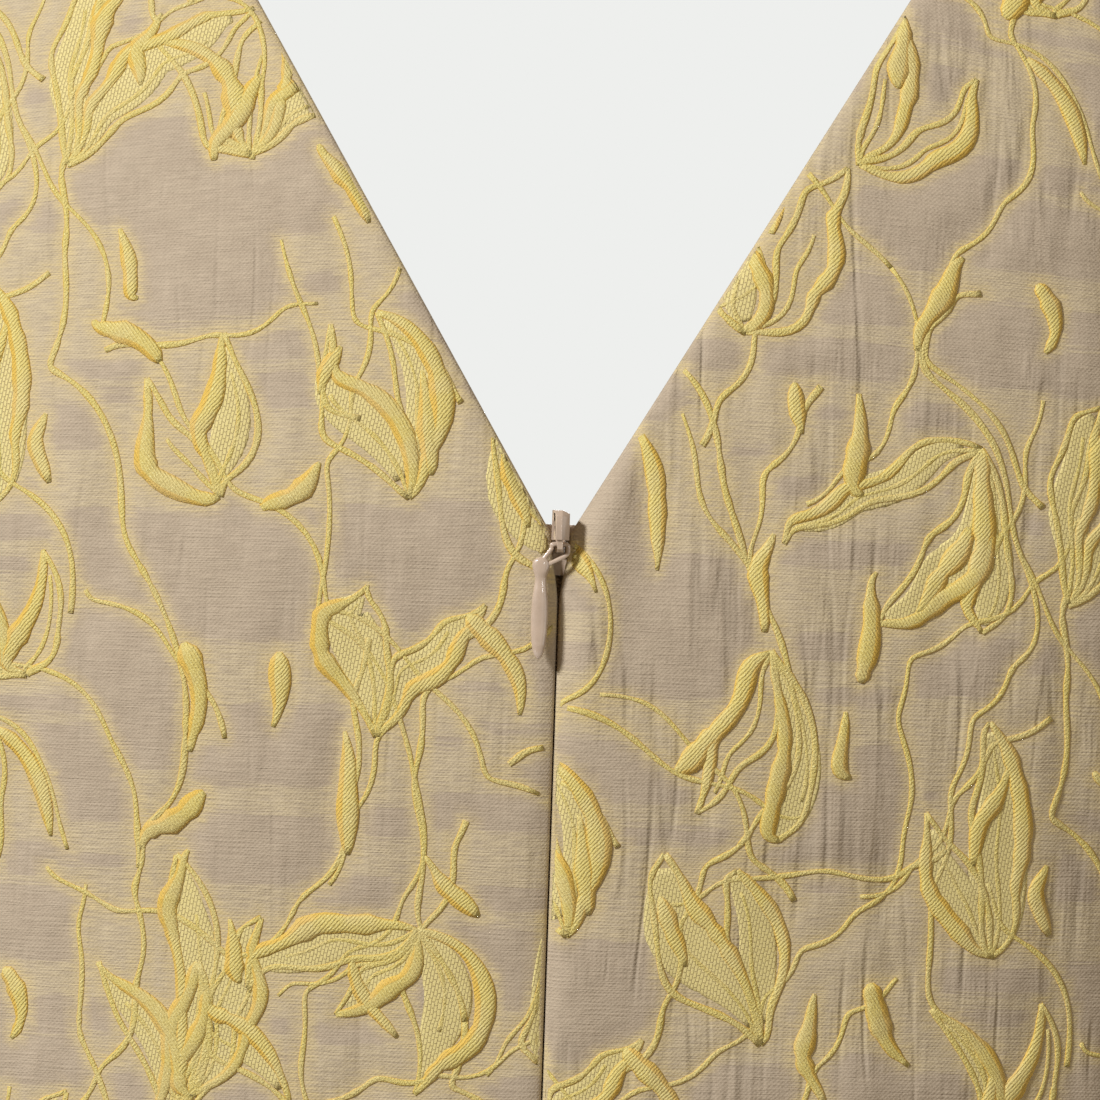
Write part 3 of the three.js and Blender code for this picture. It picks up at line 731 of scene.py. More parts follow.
def shell(name, halves, materials):
    """A closed wall of cloth from one or two half grids.

    Points that two halves share are made one. The inner face lies CLOTH behind the cut's own
    surface. A rim of two bands runs round every edge that only one cell has, over a line that
    lies on the true edge, so that each edge is rounded as a turned one is.
    """
    points = np.concatenate([h.points.reshape(-1, 3) for h in halves])
    outer = np.concatenate([h.outer.reshape(-1, 3) for h in halves])
    normals = np.concatenate([h.normals.reshape(-1, 3) for h in halves])
    up = np.concatenate([np.broadcast_to(h.up[:, None], h.across.shape).ravel() for h in halves])
    right = np.concatenate([h.right.ravel() for h in halves])
    firsts = np.cumsum([0] + [h.across.size for h in halves])
    cells = np.concatenate([grid_cells(h, first) for h, first in zip(halves, firsts)])
    _, keep, number = np.unique(np.round(points, 3), axis=0, return_index=True, return_inverse=True)
    number = number.ravel()
    cells = number[cells]
    count = len(keep)
    merged = np.zeros((count, 3))
    np.add.at(merged, number, normals)
    normals = unit(merged)
    points, outer, up, right = points[keep], outer[keep], up[keep], right[keep]
    inner = points - normals * CLOTH
    # Edges that only one cell has, and the way out of the cloth at each of their points.
    edges = np.concatenate([cells[:, [k, (k + 1) % 4]] for k in range(4)])
    keys = edges[:, 0] * count + edges[:, 1]
    border = edges[~np.isin(edges[:, 1] * count + edges[:, 0], keys)]
    run = points[border[:, 1]] - points[border[:, 0]]
    out = np.cross(unit(run), normals[border[:, 0]])
    ways = np.zeros((count, 3))
    for end in (0, 1):
        np.add.at(ways, border[:, end], out)
    rim = np.unique(border)
    ways[rim] = unit(ways[rim])
    edge_line = (outer[rim] + inner[rim]) / 2
    outer[rim] -= ways[rim] * RIM_ROUND
    inner[rim] -= ways[rim] * RIM_ROUND
    rim_number = np.zeros(count, int)
    rim_number[rim] = 2 * count + np.arange(len(rim))
    a, b = border[:, 0], border[:, 1]
    quads = np.concatenate([
        cells,
        cells[:, ::-1] + count,
        np.stack([a, rim_number[a], rim_number[b], b], -1),
        np.stack([rim_number[a], a + count, b + count, rim_number[b]], -1),
    ])
    place = PANELS[name]
    in_tile = right + place["right"], up + place["up"]
    haze = tile_read("haze", *in_tile)
    close = np.exp(-((tile_read("distance", *in_tile) / HALO_REACH) ** 2))
    uv = np.stack([right, up], -1)
    stack = lambda values: np.concatenate([values, values, values[rim]])
    inside = np.concatenate([np.zeros(count), np.ones(count), np.full(len(rim), 0.3)])
    crumpled = np.full(len(inside), place["crumpled"])
    return make_mesh(
        name + "_cloth", np.concatenate([outer, inner, edge_line]), quads, uv=stack(uv),
        values={"haze": stack(haze), "halo": stack(close), "inside": inside, "crumpled": crumpled},
        materials=materials,
    )


def locate(half, across, up):
    """Points and normals of a half panel's outer face, and how far inside its edges they lie.

    The row comes from the distance up and the column from the distance across. A point is read
    in the triangle it falls in, as each cell is split along the diagonal from its first corner.
    A place nearer to an edge than EDGE_INSET is moved in, but not at a closed centre.
    """
    rows, columns = half.across.shape
    start, end = half.across[:, 0], half.across[:, -1]
    lowest, highest = half.up[0] + EDGE_INSET, half.up[-1] - EDGE_INSET
    row = np.interp(np.clip(up, lowest, highest), half.up, np.arange(rows))
    low = np.minimum(row.astype(int), rows - 2)
    v = row - low
    first = start[low] + (start[low + 1] - start[low]) * v
    last = end[low] + (end[low + 1] - end[low]) * v
    closed = (half.face == "front") & (first < 0.01)
    nearest, farthest = np.where(closed, first, first + EDGE_INSET), last - EDGE_INSET
    keys = (half.across - start[:, None]) / (end - start)[:, None] + 2 * np.arange(rows)[:, None]
    numbers = np.tile(np.arange(columns, dtype=float), rows)
    wanted = (np.clip(across, nearest, farthest) - first) / (last - first) + 2 * low
    column = np.interp(wanted, keys.ravel(), numbers)
    left = np.minimum(column.astype(int), columns - 2)
    u = column - left
    beside = (u >= v)[:, None]
    u, v = u[:, None], v[:, None]

    def read(table):
        a, b = table[low, left], table[low, left + 1]
        d, c = table[low + 1, left], table[low + 1, left + 1]
        return a + np.where(beside, u * (b - a) + v * (c - b), v * (d - a) + u * (c - d))

    inside = np.minimum.reduce([
        up - lowest, highest - up, np.where(closed, FAR, across - nearest), farthest - across])
    return read(half.outer), read(half.normals), inside


BEYOND = 12  # how far past a panel's edges sections are still worked out
JOIN_REACH = 6 * SPACING  # two kept sections of a line farther apart than this aren't joined


def raised(name, halves, kind, section, keep):
    """The raised lines of one kind on a panel, as arrays of points, faces, places and heights.

    Each line's sections are repeated over the panel with the pattern. A section's points are
    found on the cloth one by one and lifted along its normal, so that a line follows the form
    and is cut off cleanly by the panel's edges.
    """
    lines = tile_strands()
    chosen = np.flatnonzero(lines["kind"] == kind)
    place = PANELS[name]
    centre = lines["centre"][chosen] - [place["right"], place["up"]]
    low_x, high_x = min(h.right.min() for h in halves), max(h.right.max() for h in halves)
    low_y, high_y = halves[0].up[0], halves[0].up[-1]
    spans = [
        range(math.floor((low - c.max()) / size) - 1, math.ceil((high - c.min()) / size) + 2)
        for low, high, size, c in ((low_x, high_x, TILE_WIDE, centre[:, 0]),
                                   (low_y, high_y, TILE_HIGH, centre[:, 1]))
    ]
    shifts = np.array([(i * TILE_WIDE, j * TILE_HIGH) for i in spans[0] for j in spans[1]])
    centres = (centre[None] + shifts[:, None]).reshape(-1, 2)
    source = np.tile(chosen, len(shifts))
    step = np.tile(np.arange(len(chosen)), len(shifts))
    line = np.repeat(np.arange(len(shifts)), len(chosen)) * 1000 + lines["number"][source]
    near = ((centres[:, 0] > low_x - BEYOND) & (centres[:, 0] < high_x + BEYOND)
            & (centres[:, 1] > low_y - BEYOND) & (centres[:, 1] < high_y + BEYOND))
    near &= keep(step, centres)
    centres, source, line = centres[near], source[near], line[near]
    half_width = lines["width"][source] / 2
    lateral = lines["lateral"][source]
    across = section["across"]
    spots = centres[:, None] + lateral[:, None] * (half_width[:, None] * across)[..., None]
    flat = spots.reshape(-1, 2)
    found = [
        locate(h, flat[:, 0] * (-h.side if h.face == "back" else h.side), flat[:, 1]) for h in halves
    ]
    if len(found) == 1:
        point, normal, inside = found[0]
    else:
        left = flat[:, 0] * halves[0].side > 0
        point, normal, inside = (
            np.where(left[:, None] if a.ndim > 1 else left, a, b) for a, b in zip(*found))
    size = len(across)
    scale = bpy.context.scene.dress_cloth.line_height
    inside = inside.reshape(-1, size)
    fade = smoothstep(inside, 0, EDGE_FADE)
    up = section["up"] * fade - SUNK * (1 - fade)
    lift = (lines["height"][source] * scale)[:, None] * up
    points = point.reshape(-1, size, 3) + normal.reshape(-1, size, 3) * lift[..., None]
    shown = (inside > 0).any(axis=1)
    # Two sections are joined where they follow each other on one line and both show.
    joined = (line[1:] == line[:-1]) & shown[1:] & shown[:-1]
    joined &= np.linalg.norm(np.diff(centres, axis=0), axis=1) < JOIN_REACH
    ends = np.concatenate([[False], joined, [False]])
    opening = np.flatnonzero(ends[1:] & ~ends[:-1])
    closing = np.flatnonzero(ends[:-1] & ~ends[1:])
    first = np.flatnonzero(joined)
    ring_next = np.roll(np.arange(size), -1)
    corner = lambda k, p: k * size + p
    k, p = np.meshgrid(first, np.arange(size), indexing="ij")
    quads = np.stack([corner(k, p), corner(k, ring_next[p]), corner(k + 1, ring_next[p]),
                      corner(k + 1, p)], -1).reshape(-1, 4)
    fan = capped(size)
    caps = np.concatenate([corner(opening[:, None, None], fan[None, :, ::-1]).reshape(-1, 3),
                           corner(closing[:, None, None], fan[None]).reshape(-1, 3)])
    used, renumbered = np.unique(
        np.concatenate([quads.ravel(), caps.ravel()]), return_inverse=True)
    quads = renumbered[:quads.size].reshape(-1, 4)
    caps = renumbered[quads.size:].reshape(-1, 3)
    # The flank that faces away from the centre line counts as lower: its yarn shows more. Crest falls from
    # one on a line's top towards its flanks and lays on the golden flank colour, which is partly the yarn's
    # deeper tone and partly painted shade.
    outward = np.clip(3 * lateral[:, :1] * np.sign(centres[:, :1]) * np.sign(across), 0, 1)
    broad = smoothstep(lines["width"][source], 1.3, 2.6)[:, None]
    crest = (1 - np.abs(across)) * (1 - (0.35 + 0.5 * broad) * outward)
    broad = np.broadcast_to(broad, lift.shape)
    hatch = np.broadcast_to((lines["number"][source] * 7 % 5 < 3)[:, None].astype(float), lift.shape)
    return {
        "points": points.reshape(-1, 3)[used], "uv": flat[used], "quads": quads, "caps": caps,
        "crest": crest.reshape(-1)[used], "hatch": hatch.reshape(-1)[used],
        "broad": broad.reshape(-1)[used],
    }


def raised_piece(name, label, halves, parts):
    """Raised lines and nets of one panel as one mesh. A part has its arrays and its material."""
    shifts = np.cumsum([0] + [len(part["points"]) for part, _ in parts])
    quads = np.concatenate([part["quads"] + shift for (part, _), shift in zip(parts, shifts)])
    caps = np.concatenate([part["caps"] + shift for (part, _), shift in zip(parts, shifts)])
    index = np.concatenate(
        [np.full(len(part["quads"]), k) for k, (part, _) in enumerate(parts)]
        + [np.full(len(part["caps"]), k) for k, (part, _) in enumerate(parts)])
    both = {key: np.concatenate([part[key] for part, _ in parts])
            for key in ("points", "uv", "crest", "hatch", "broad")}
    return make_mesh(
        f"{name}_{label}", both["points"], quads, caps, uv=both["uv"],
        values={key: both[key] for key in ("crest", "hatch", "broad")},
        materials=[material for _, material in parts], index=index,
    )


# ------------------------------------------------------------------ materials

class Graph:
    """Short ways to put nodes into a node tree."""

    def __init__(self, tree):
        self.tree = tree

    def node(self, kind, settings=None, inputs=None):
        """A node with its settings, and inputs by name or number set to a value or a socket."""
        made = self.tree.nodes.new(kind)
        for key, value in (settings or {}).items():
            setattr(made, key, value)
        for key, value in (inputs or {}).items():
            link_or_set(self.tree, made.inputs, key, value)
        return made

    def math(self, operation, a, b=0.0, clamp=False):
        made = self.node("ShaderNodeMath", {"operation": operation, "use_clamp": clamp}, {0: a, 1: b})
        return made.outputs[0]

    def times(self, first, *others):
        """The product of several values."""
        for other in others:
            first = self.math("MULTIPLY", first, other)
        return first

    def mix(self, factor, a, b, blend="MIX"):
        """One colour laid over another by a factor."""
        made = self.node("ShaderNodeMix", {"data_type": "RGBA", "blend_type": blend},
                         {0: factor, 6: a, 7: b})
        return made.outputs[2]

    def remap(self, value, low, high, to_low=0.0, to_high=1.0):
        """A value's range moved to another, smoothly, and held at both ends."""
        made = self.node("ShaderNodeMapRange", {"interpolation_type": "SMOOTHSTEP"},
                         {0: value, 1: low, 2: high, 3: to_low, 4: to_high})
        return made.outputs[0]

    def noise(self, coordinates, scale, detail=2.0, roughness=0.5, stretch=None):
        """Noise over coordinates in metres, at scale cells for each millimetre."""
        if stretch:
            made = self.node("ShaderNodeVectorMath", {"operation": "MULTIPLY"},
                             {0: coordinates, 1: stretch})
            coordinates = made.outputs[0]
        made = self.node("ShaderNodeTexNoise", {}, {
            "Vector": coordinates, "Scale": scale / MM, "Detail": detail, "Roughness": roughness})
        return made.outputs[0]

    def bump(self, height, depth, normal=None):
        """Relief whose height of one is depth in millimetres."""
        inputs = {"Strength": 1.0, "Distance": depth * MM, "Height": height}
        if normal is not None:
            inputs["Normal"] = normal
        return self.node("ShaderNodeBump", {}, inputs).outputs[0]

    def attribute(self, name):
        return self.node("ShaderNodeAttribute", {"attribute_name": name}).outputs["Fac"]


def group(name, inputs, outputs):
    """An empty node group with its sockets, and the graph to fill it with."""
    tree = bpy.data.node_groups.new(name, "ShaderNodeTree")
    for label, kind, value in inputs:
        socket = tree.interface.new_socket(label, in_out="INPUT", socket_type=kind)
        if value is not None:
            socket.default_value = value
    for label in outputs:
        tree.interface.new_socket(label, in_out="OUTPUT", socket_type="NodeSocketFloat")
    graph = Graph(tree)
    return graph, graph.node("NodeGroupInput").outputs, graph.node("NodeGroupOutput").inputs


VECTOR, NUMBER = "NodeSocketVector", "NodeSocketFloat"


@lru_cache(maxsize=None)
def weave_group():
    """Plain weave: threads that cross over and under, each a little off its line."""
    graph, given, out = group(
        "Plain weave",
        [("Coordinates", VECTOR, None), ("Pitch", NUMBER, 0.5), ("Unevenness", NUMBER, 0.3)],
        ["Height", "Thread"])
    scale = graph.math("DIVIDE", 1 / MM, given["Pitch"])
    spread = graph.node("ShaderNodeVectorMath", {"operation": "SCALE"},
                        {0: given["Coordinates"], "Scale": scale}).outputs[0]
    parts = graph.node("ShaderNodeSeparateXYZ", {}, {0: spread}).outputs
    drift = graph.math("SUBTRACT", graph.noise(given["Coordinates"], 0.35, 3), 0.5)
    drift = graph.times(graph.times(drift, 6.0), given["Unevenness"])
    x, y = (graph.math("ADD", parts[k], drift) for k in (0, 1))
    waves = [graph.math("SINE", graph.times(v, math.pi)) for v in (x, y)]
    product = graph.times(*waves)
    fuzz = graph.noise(given["Coordinates"], 2.2, 2, 0.6)
    height = graph.math("ADD", graph.times(product, 0.35), fuzz)
    graph.tree.links.new(height, out["Height"])
    graph.tree.links.new(graph.remap(product, -0.9, 0.9), out["Thread"])
    return graph.tree


@lru_cache(maxsize=None)
def twill_group():
    """Twill: slanting ribs at a pitch, broken up by fuzz. Even is the ribs' share of the relief."""
    graph, given, out = group(
        "Twill",
        [("Coordinates", VECTOR, None), ("Pitch", NUMBER, 0.56), ("Slant", NUMBER, 0.9),
         ("Even", NUMBER, 0.7)],
        ["Height", "Groove", "Glint"])
    where = given["Coordinates"]
    parts = graph.node("ShaderNodeSeparateXYZ", {}, {0: where}).outputs
    rise = graph.times(parts[1], graph.math("COSINE", given["Slant"]))
    run = graph.times(parts[0], graph.math("SINE", given["Slant"]))
    pitch = graph.times(given["Pitch"], MM)
    place = graph.math("DIVIDE", graph.math("SUBTRACT", rise, run), pitch)
    drift = graph.times(graph.noise(where, 0.35, 2), 1.3)
    wave = graph.math("SINE", graph.times(graph.math("ADD", place, drift), 2 * math.pi))
    rib = graph.remap(wave, -0.9, 0.5)
    fuzz = graph.remap(graph.noise(where, 2.4, 2, 0.6), 0.36, 0.62)
    spread = graph.math("SUBTRACT", 1.0, given["Even"])
    height = graph.math("ADD", graph.times(rib, given["Even"]),
                        graph.times(fuzz, graph.math("ADD", spread, 0.25)))
    graph.tree.links.new(height, out["Height"])
    # Groove is a mask for painted shade between the ribs.
    graph.tree.links.new(graph.math("SUBTRACT", 1.0, height, clamp=True), out["Groove"])
    # Glint is a mask for painted highlights, sparkles where the ribs stand high.
    spark = graph.remap(graph.noise(where, 3.1, 1, 0.5), 0.58, 0.72)
    graph.tree.links.new(graph.times(spark, height), out["Glint"])
    return graph.tree


@lru_cache(maxsize=None)
def slub_group():
    """Slubs: streaks along the weft, where a thread is thicker or lighter."""
    graph, given, out = group(
        "Slubs",
        [("Coordinates", VECTOR, None), ("Length", NUMBER, 7.0), ("Thickness", NUMBER, 0.45)],
        ["Streak"])
    stretch = graph.node("ShaderNodeCombineXYZ", {}, {
        0: graph.math("DIVIDE", 1 / MM, given["Length"]),
        1: graph.math("DIVIDE", 1 / MM, given["Thickness"])}).outputs[0]
    spread = graph.node("ShaderNodeVectorMath", {"operation": "MULTIPLY"},
                        {0: given["Coordinates"], 1: stretch}).outputs[0]
    streak = graph.node("ShaderNodeTexNoise", {}, {
        "Vector": spread, "Scale": 1.0, "Detail": 3.0, "Roughness": 0.55}).outputs[0]
    graph.tree.links.new(graph.remap(streak, 0.3, 0.7), out["Streak"])
    return graph.tree


@lru_cache(maxsize=None)
def crinkle_group():
    """Crinkles: soft upright folds, where a stretched noise passes its middle, in patches."""
    graph, given, out = group("Crinkles", [("Coordinates", VECTOR, None)], ["Fold", "Ripple"])
    where = given["Coordinates"]
    wavy = graph.noise(where, 1.0, 1, 0.45, stretch=(0.15, 0.016, 1.0))
    away = graph.math("ABSOLUTE", graph.math("SUBTRACT", wavy, 0.5))
    fold = graph.remap(away, 0.0, 0.075, 1.0, 0.0)
    patch = graph.remap(graph.noise(where, 1.0, 2, 0.5, stretch=(0.07, 0.04, 1.0)), 0.4, 0.62)
    graph.tree.links.new(graph.times(fold, patch), out["Fold"])
    ripple = graph.noise(where, 1.0, 2, 0.6, stretch=(0.42, 0.05, 1.0))
    graph.tree.links.new(graph.times(graph.remap(ripple, 0.3, 0.7), patch), out["Ripple"])
    return graph.tree


def use(graph, tree, **inputs):
    """A node group placed in a material, with its own values."""
    names = {key.capitalize(): value for key, value in inputs.items()}
    return graph.node("ShaderNodeGroup", {"node_tree": tree}, names).outputs


def new_material(name, **constants):
    """A material with one Principled shader, whose constants are set on its own sockets."""
    material = bpy.data.materials.new(name)
    material.use_nodes = True
    shader = material.node_tree.nodes["Principled BSDF"]
    for key, value in constants.items():
        shader.inputs[key.replace("_", " ")].default_value = value
    return material, Graph(material.node_tree), shader


def finish(material, graph, shader, colour, roughness, normal=None):
    """Joins the worked-out colour, roughness and normal to the shader."""
    for key, value in (("Base Color", colour), ("Roughness", roughness), ("Normal", normal)):
        if value is not None:
            link_or_set(graph.tree, shader.inputs, key, value)
    return material


def rgba(colour):
    return (*colour[:3], 1.0)


def darker(colour, share):
    return rgba([share * c for c in colour])


def cloth_coordinates(graph):
    return graph.node("ShaderNodeUVMap", {"uv_map": "cloth"}).outputs[0]


@lru_cache(maxsize=None)
def ground_material():
    """The beige ground: a fine weave with slubs and crinkles, warm where yellow weft floats, and darker in
    its crinkles as painted shade.
    """
    colours = bpy.context.scene.dress_colours
    material, graph, shader = new_material(
        "jacquard_ground", Specular_IOR_Level=0.25, Sheen_Weight=0.08, Sheen_Roughness=0.45)
    where = cloth_coordinates(graph)
    weave = use(graph, weave_group(), coordinates=where, pitch=0.42, unevenness=0.3)
    slubs = use(graph, slub_group(), coordinates=where, length=11.0, thickness=0.42)
    fine = use(graph, slub_group(), coordinates=where, length=3.6, thickness=0.22)
    crinkles = use(graph, crinkle_group(), coordinates=where)
    mottle = graph.remap(graph.noise(where, 0.16, 4, 0.65), 0.3, 0.7)
    crumpled = graph.attribute("crumpled")
    colour = graph.mix(mottle, rgba(colours.ground), rgba(colours.ground_deep))
    colour = graph.mix(graph.times(slubs["Streak"], 0.35), colour, rgba(colours.ground_pale))
    outside = graph.math("SUBTRACT", 1.0, graph.attribute("inside"), clamp=True)
    threads = graph.remap(fine["Streak"], 0.0, 0.8, 0.35, 1.0)
    edge = graph.times(graph.math("SUBTRACT", slubs["Streak"], 0.5), 0.5)
    floats = graph.remap(graph.math("ADD", graph.attribute("haze"), edge), 0.36, 0.64)
    colour = graph.mix(graph.times(floats, threads, outside, 0.6), colour, rgba(colours.haze))
    halo = graph.times(graph.attribute("halo"), graph.remap(fine["Streak"], 0, 1, 0.3, 1))
    colour = graph.mix(graph.times(halo, outside, 0.6), colour, rgba(colours.halo))
    fold = graph.times(crinkles["Fold"], crumpled)
    ripple = graph.times(crinkles["Ripple"], crumpled)
    # The colour is multiplied by a grey that varies with the weave's threads and the fine slubs, and that
    # is darker in the crinkles' folds and ripples as painted shade.
    shade = graph.times(
        graph.remap(weave["Thread"], 0, 1, 0.96, 1.02), graph.remap(fine["Streak"], 0, 1, 0.93, 1.03),
        graph.remap(fold, 0, 1, 1.0, 0.93), graph.remap(ripple, 0, 1, 1.0, 0.95))
    grey = graph.node("ShaderNodeCombineXYZ", {}, {0: shade, 1: shade, 2: shade}).outputs[0]
    colour = graph.mix(1.0, colour, grey, "MULTIPLY")
    normal = graph.bump(graph.math("SUBTRACT", 1.0, fold), 0.21)
    normal = graph.bump(ripple, 0.14, normal)
    soft = graph.noise(where, 0.3, 3, 0.6, stretch=(1.0, 0.5, 1.0))
    for height, depth in (
            (soft, 0.22), (slubs["Streak"], 0.05), (fine["Streak"], 0.03), (weave["Height"], 0.055)):
        normal = graph.bump(height, depth, normal)
    return finish(material, graph, shader, colour, 0.88, normal)


@lru_cache(maxsize=None)
def line_material():
    """The yellow floats: slanting ribs of glossy yarn, golden on their flanks partly as the yarn's deeper
    tone and partly as painted shade, with painted shade in the grooves and painted glints on the ribs.
    """
    colours = bpy.context.scene.dress_colours
    material, graph, shader = new_material(
        "jacquard_lines", Specular_IOR_Level=0.45, Sheen_Weight=0.1, Sheen_Roughness=0.4)
    where = cloth_coordinates(graph)
    slants = graph.remap(graph.attribute("hatch"), 0.0, 1.0, -0.95, 0.85)
    even = graph.remap(graph.attribute("broad"), 0.0, 1.0, 0.3, 0.75)
    twill = use(graph, twill_group(), coordinates=where, pitch=0.56, slant=slants, even=even)
    crest = graph.remap(graph.attribute("crest"), 0.05, 0.36)
    # The flanks take the golden flank colour: the yarn's deeper tone and painted shade together.
    colour = graph.mix(crest, rgba(colours.line_flank_gold_and_shade), rgba(colours.line))
    # Painted shade in the grooves between the ribs.
    colour = graph.mix(graph.times(twill["Groove"], 0.6), colour, rgba(colours.line_shade))
    slow = graph.times(graph.remap(graph.noise(where, 0.12, 2), 0.4, 0.65), 0.25)
    colour = graph.mix(slow, colour, rgba(colours.haze))
    # Painted highlight: glints on the tops of the ribs.
    colour = graph.mix(graph.times(crest, 0.75, twill["Glint"]), colour, rgba(colours.glint))
    normal = graph.bump(twill["Height"], 0.11)
    return finish(material, graph, shader, colour, 0.6, normal)


@lru_cache(maxsize=None)
def net_material():
    """The net inside a leaf: short pale dashes of yarn in staggered columns over the ground."""
    colours = bpy.context.scene.dress_colours
    material, graph, shader = new_material(
        "jacquard_net", Specular_IOR_Level=0.3, Sheen_Weight=0.1, Sheen_Roughness=0.4)
    where = cloth_coordinates(graph)
    drift = graph.node(
        "ShaderNodeTexNoise", {}, {"Vector": where, "Scale": 0.4 / MM, "Detail": 2.0})
    moved = graph.node("ShaderNodeVectorMath", {"operation": "MULTIPLY_ADD"}, {
        0: drift.outputs[1], 1: (0.0005, 0.0004, 0.0), 2: where}).outputs[0]
    upright = graph.node("ShaderNodeMapping", {}, {0: moved, "Rotation": (0, 0, 1.75)}).outputs[0]
    bricks = graph.node("ShaderNodeTexBrick", {"offset": 0.5, "offset_frequency": 2}, {
        "Vector": upright, "Scale": 1 / MM, "Mortar Size": 0.13, "Mortar Smooth": 0.7,
        "Brick Width": 1.15, "Row Height": 0.62}).outputs[1]
    slubs = use(graph, slub_group(), coordinates=where, length=5.0, thickness=0.7)
    colour = graph.mix(graph.times(slubs["Streak"], 0.3), rgba(colours.net), rgba(colours.line))
    cover = graph.remap(graph.noise(where, 0.16, 3, 0.6), 0.3, 0.7, 0.55, 0.95)
    colour = graph.mix(graph.times(bricks, cover), colour, rgba(colours.net_shade))
    normal = graph.bump(graph.math("SUBTRACT", 1.0, bricks), 0.1)
    return finish(material, graph, shader, colour, 0.75, normal)


@lru_cache(maxsize=None)
def tape_material():
    """The zip's tape: a fine woven tape, matte."""
    colours = bpy.context.scene.dress_colours
    material, graph, shader = new_material("zip_tape", Specular_IOR_Level=0.25)
    where = graph.node("ShaderNodeTexCoord").outputs["Object"]
    turned = graph.node(
        "ShaderNodeMapping", {}, {0: where, "Rotation": (math.pi / 2, 0, 0)}).outputs[0]
    weave = use(graph, weave_group(), coordinates=turned, pitch=0.35, unevenness=0.1)
    shade = graph.remap(weave["Thread"], 0, 1)
    colour = graph.mix(shade, darker(colours.tape, 0.72), rgba(colours.tape))
    return finish(material, graph, shader, colour, 0.85, graph.bump(weave["Height"], 0.1))


@lru_cache(maxsize=None)
def nylon_material():
    """The coil: dyed nylon wire with a satin surface."""
    colours = bpy.context.scene.dress_colours
    material, graph, shader = new_material("zip_nylon", Specular_IOR_Level=0.5)
    where = graph.node("ShaderNodeTexCoord").outputs["Object"]
    patch = graph.remap(graph.noise(where, 0.4, 2), 0.3, 0.7)
    colour = graph.mix(patch, darker(colours.tape, 0.85), rgba(colours.tape))
    return finish(material, graph, shader, colour, 0.42)


@lru_cache(maxsize=None)
def lacquer_material():
    """The slider and its drop: beige lacquer over metal, glossy and faintly uneven."""
    colours = bpy.context.scene.dress_colours
    material, graph, shader = new_material(
        "zip_lacquer", Specular_IOR_Level=0.55, Coat_Weight=1.0, Coat_Roughness=0.05)
    where = graph.node("ShaderNodeTexCoord").outputs["Object"]
    cloud = graph.remap(graph.noise(where, 0.25, 3), 0.3, 0.7)
    colour = graph.mix(cloud, rgba(colours.lacquer), darker(colours.lacquer, 0.88))
    rough = graph.remap(graph.noise(where, 1.3, 3), 0.3, 0.7, 0.24, 0.36)
    return finish(material, graph, shader, colour, rough, graph.bump(graph.noise(where, 0.8, 2), 0.02))


# ------------------------------------------------------------------ zip

def zip_line(x, z, depth):
    """Points behind the back's outer face: x from the centre line, at heights z, depth in."""
    row = np.asarray(z, float)
    rise = halving(lambda t: cloth(1, "back", 0 * row, UNDERARM + t)[:, 2] - row, row, 0, 1)
    row = np.where(row > UNDERARM, UNDERARM + rise, row)
    point = cloth(1, "back", 0 * row, row)
    tangent = np.gradient(point, axis=0)
    normal = np.stack([0 * row, tangent[:, 2], -tangent[:, 1]], -1)
    normal *= np.where(normal[:, 1:2] < 0, -1, 1) / np.linalg.norm(normal, axis=1, keepdims=True)
    point[:, 0] = x
    return point - normal * np.reshape(depth, (-1, 1))


def sweep(path, across, over, section, closed=False):
    """A tube: a closed outline of two columns carried along a path on two directions."""
    points = path[:, None] + across[:, None] * section[:, :1] + over[:, None] * section[:, 1:]
    count, size = len(path), len(section)
    last = count if closed else count - 1
    k, p = np.meshgrid(np.arange(last), np.arange(size), indexing="ij")
    corner = lambda i, j: (i % count) * size + j % size
    quads = np.stack([corner(k, p), corner(k, p + 1), corner(k + 1, p + 1), corner(k + 1, p)], -1)
    fan = capped(size)
    caps = np.empty((0, 3), int) if closed else np.concatenate([fan[:, ::-1], fan + (count - 1) * size])
    return points.reshape(-1, 3), quads.reshape(-1, 4), caps


def outline(count, power=2.0):
    """A round outline of unit half size: an ellipse, squarer as the power grows."""
    angle = 2 * np.pi * np.arange(count) / count
    c, s = np.cos(angle), np.sin(angle)
    return np.stack([np.sign(c) * np.abs(c) ** (2 / power), np.sign(s) * np.abs(s) ** (2 / power)], -1)


def joined(parts):
    """Several point and face arrays as one."""
    shifts = np.cumsum([0] + [len(p[0]) for p in parts])
    return (np.concatenate([p[0] for p in parts]),
            np.concatenate([p[1] + s for p, s in zip(parts, shifts)]),
            np.concatenate([p[2] + s for p, s in zip(parts, shifts)]))


COIL = {"pitch": 1.5, "steps": 6, "wire": 0.5, "half": 0.95, "deep": 0.62, "middle": 0.98,
        "inset": 0.4}
COIL_DEPTH = 3.6  # of the coil's middle under the cloth's face
CORD = {"half": 1.95, "thick": 0.4, "depth": 4.2, "step": 6.0, "rise": 2.6}


def zip_coil(side, top, bottom):
    """One side of the coil: a flattened helix of nylon wire beside the centre line."""
    turns = (top - bottom) / COIL["pitch"]
    t = np.arange(int(turns * COIL["steps"]) + 1) / COIL["steps"]
    angle = 2 * np.pi * t + (0 if side > 0 else np.pi)
    z = top - t * COIL["pitch"]
    x = side * (COIL["middle"] - COIL["half"] * np.cos(angle))
    path = zip_line(x, z, COIL_DEPTH + COIL["deep"] * np.sin(angle))
    tangent = unit(np.gradient(path, axis=0))
    over = unit(np.cross(tangent, np.array([0.0, 0.0, 1.0])))
    across = np.cross(over, tangent)
    return sweep(path, across, over, outline(5) * COIL["wire"] / 2)


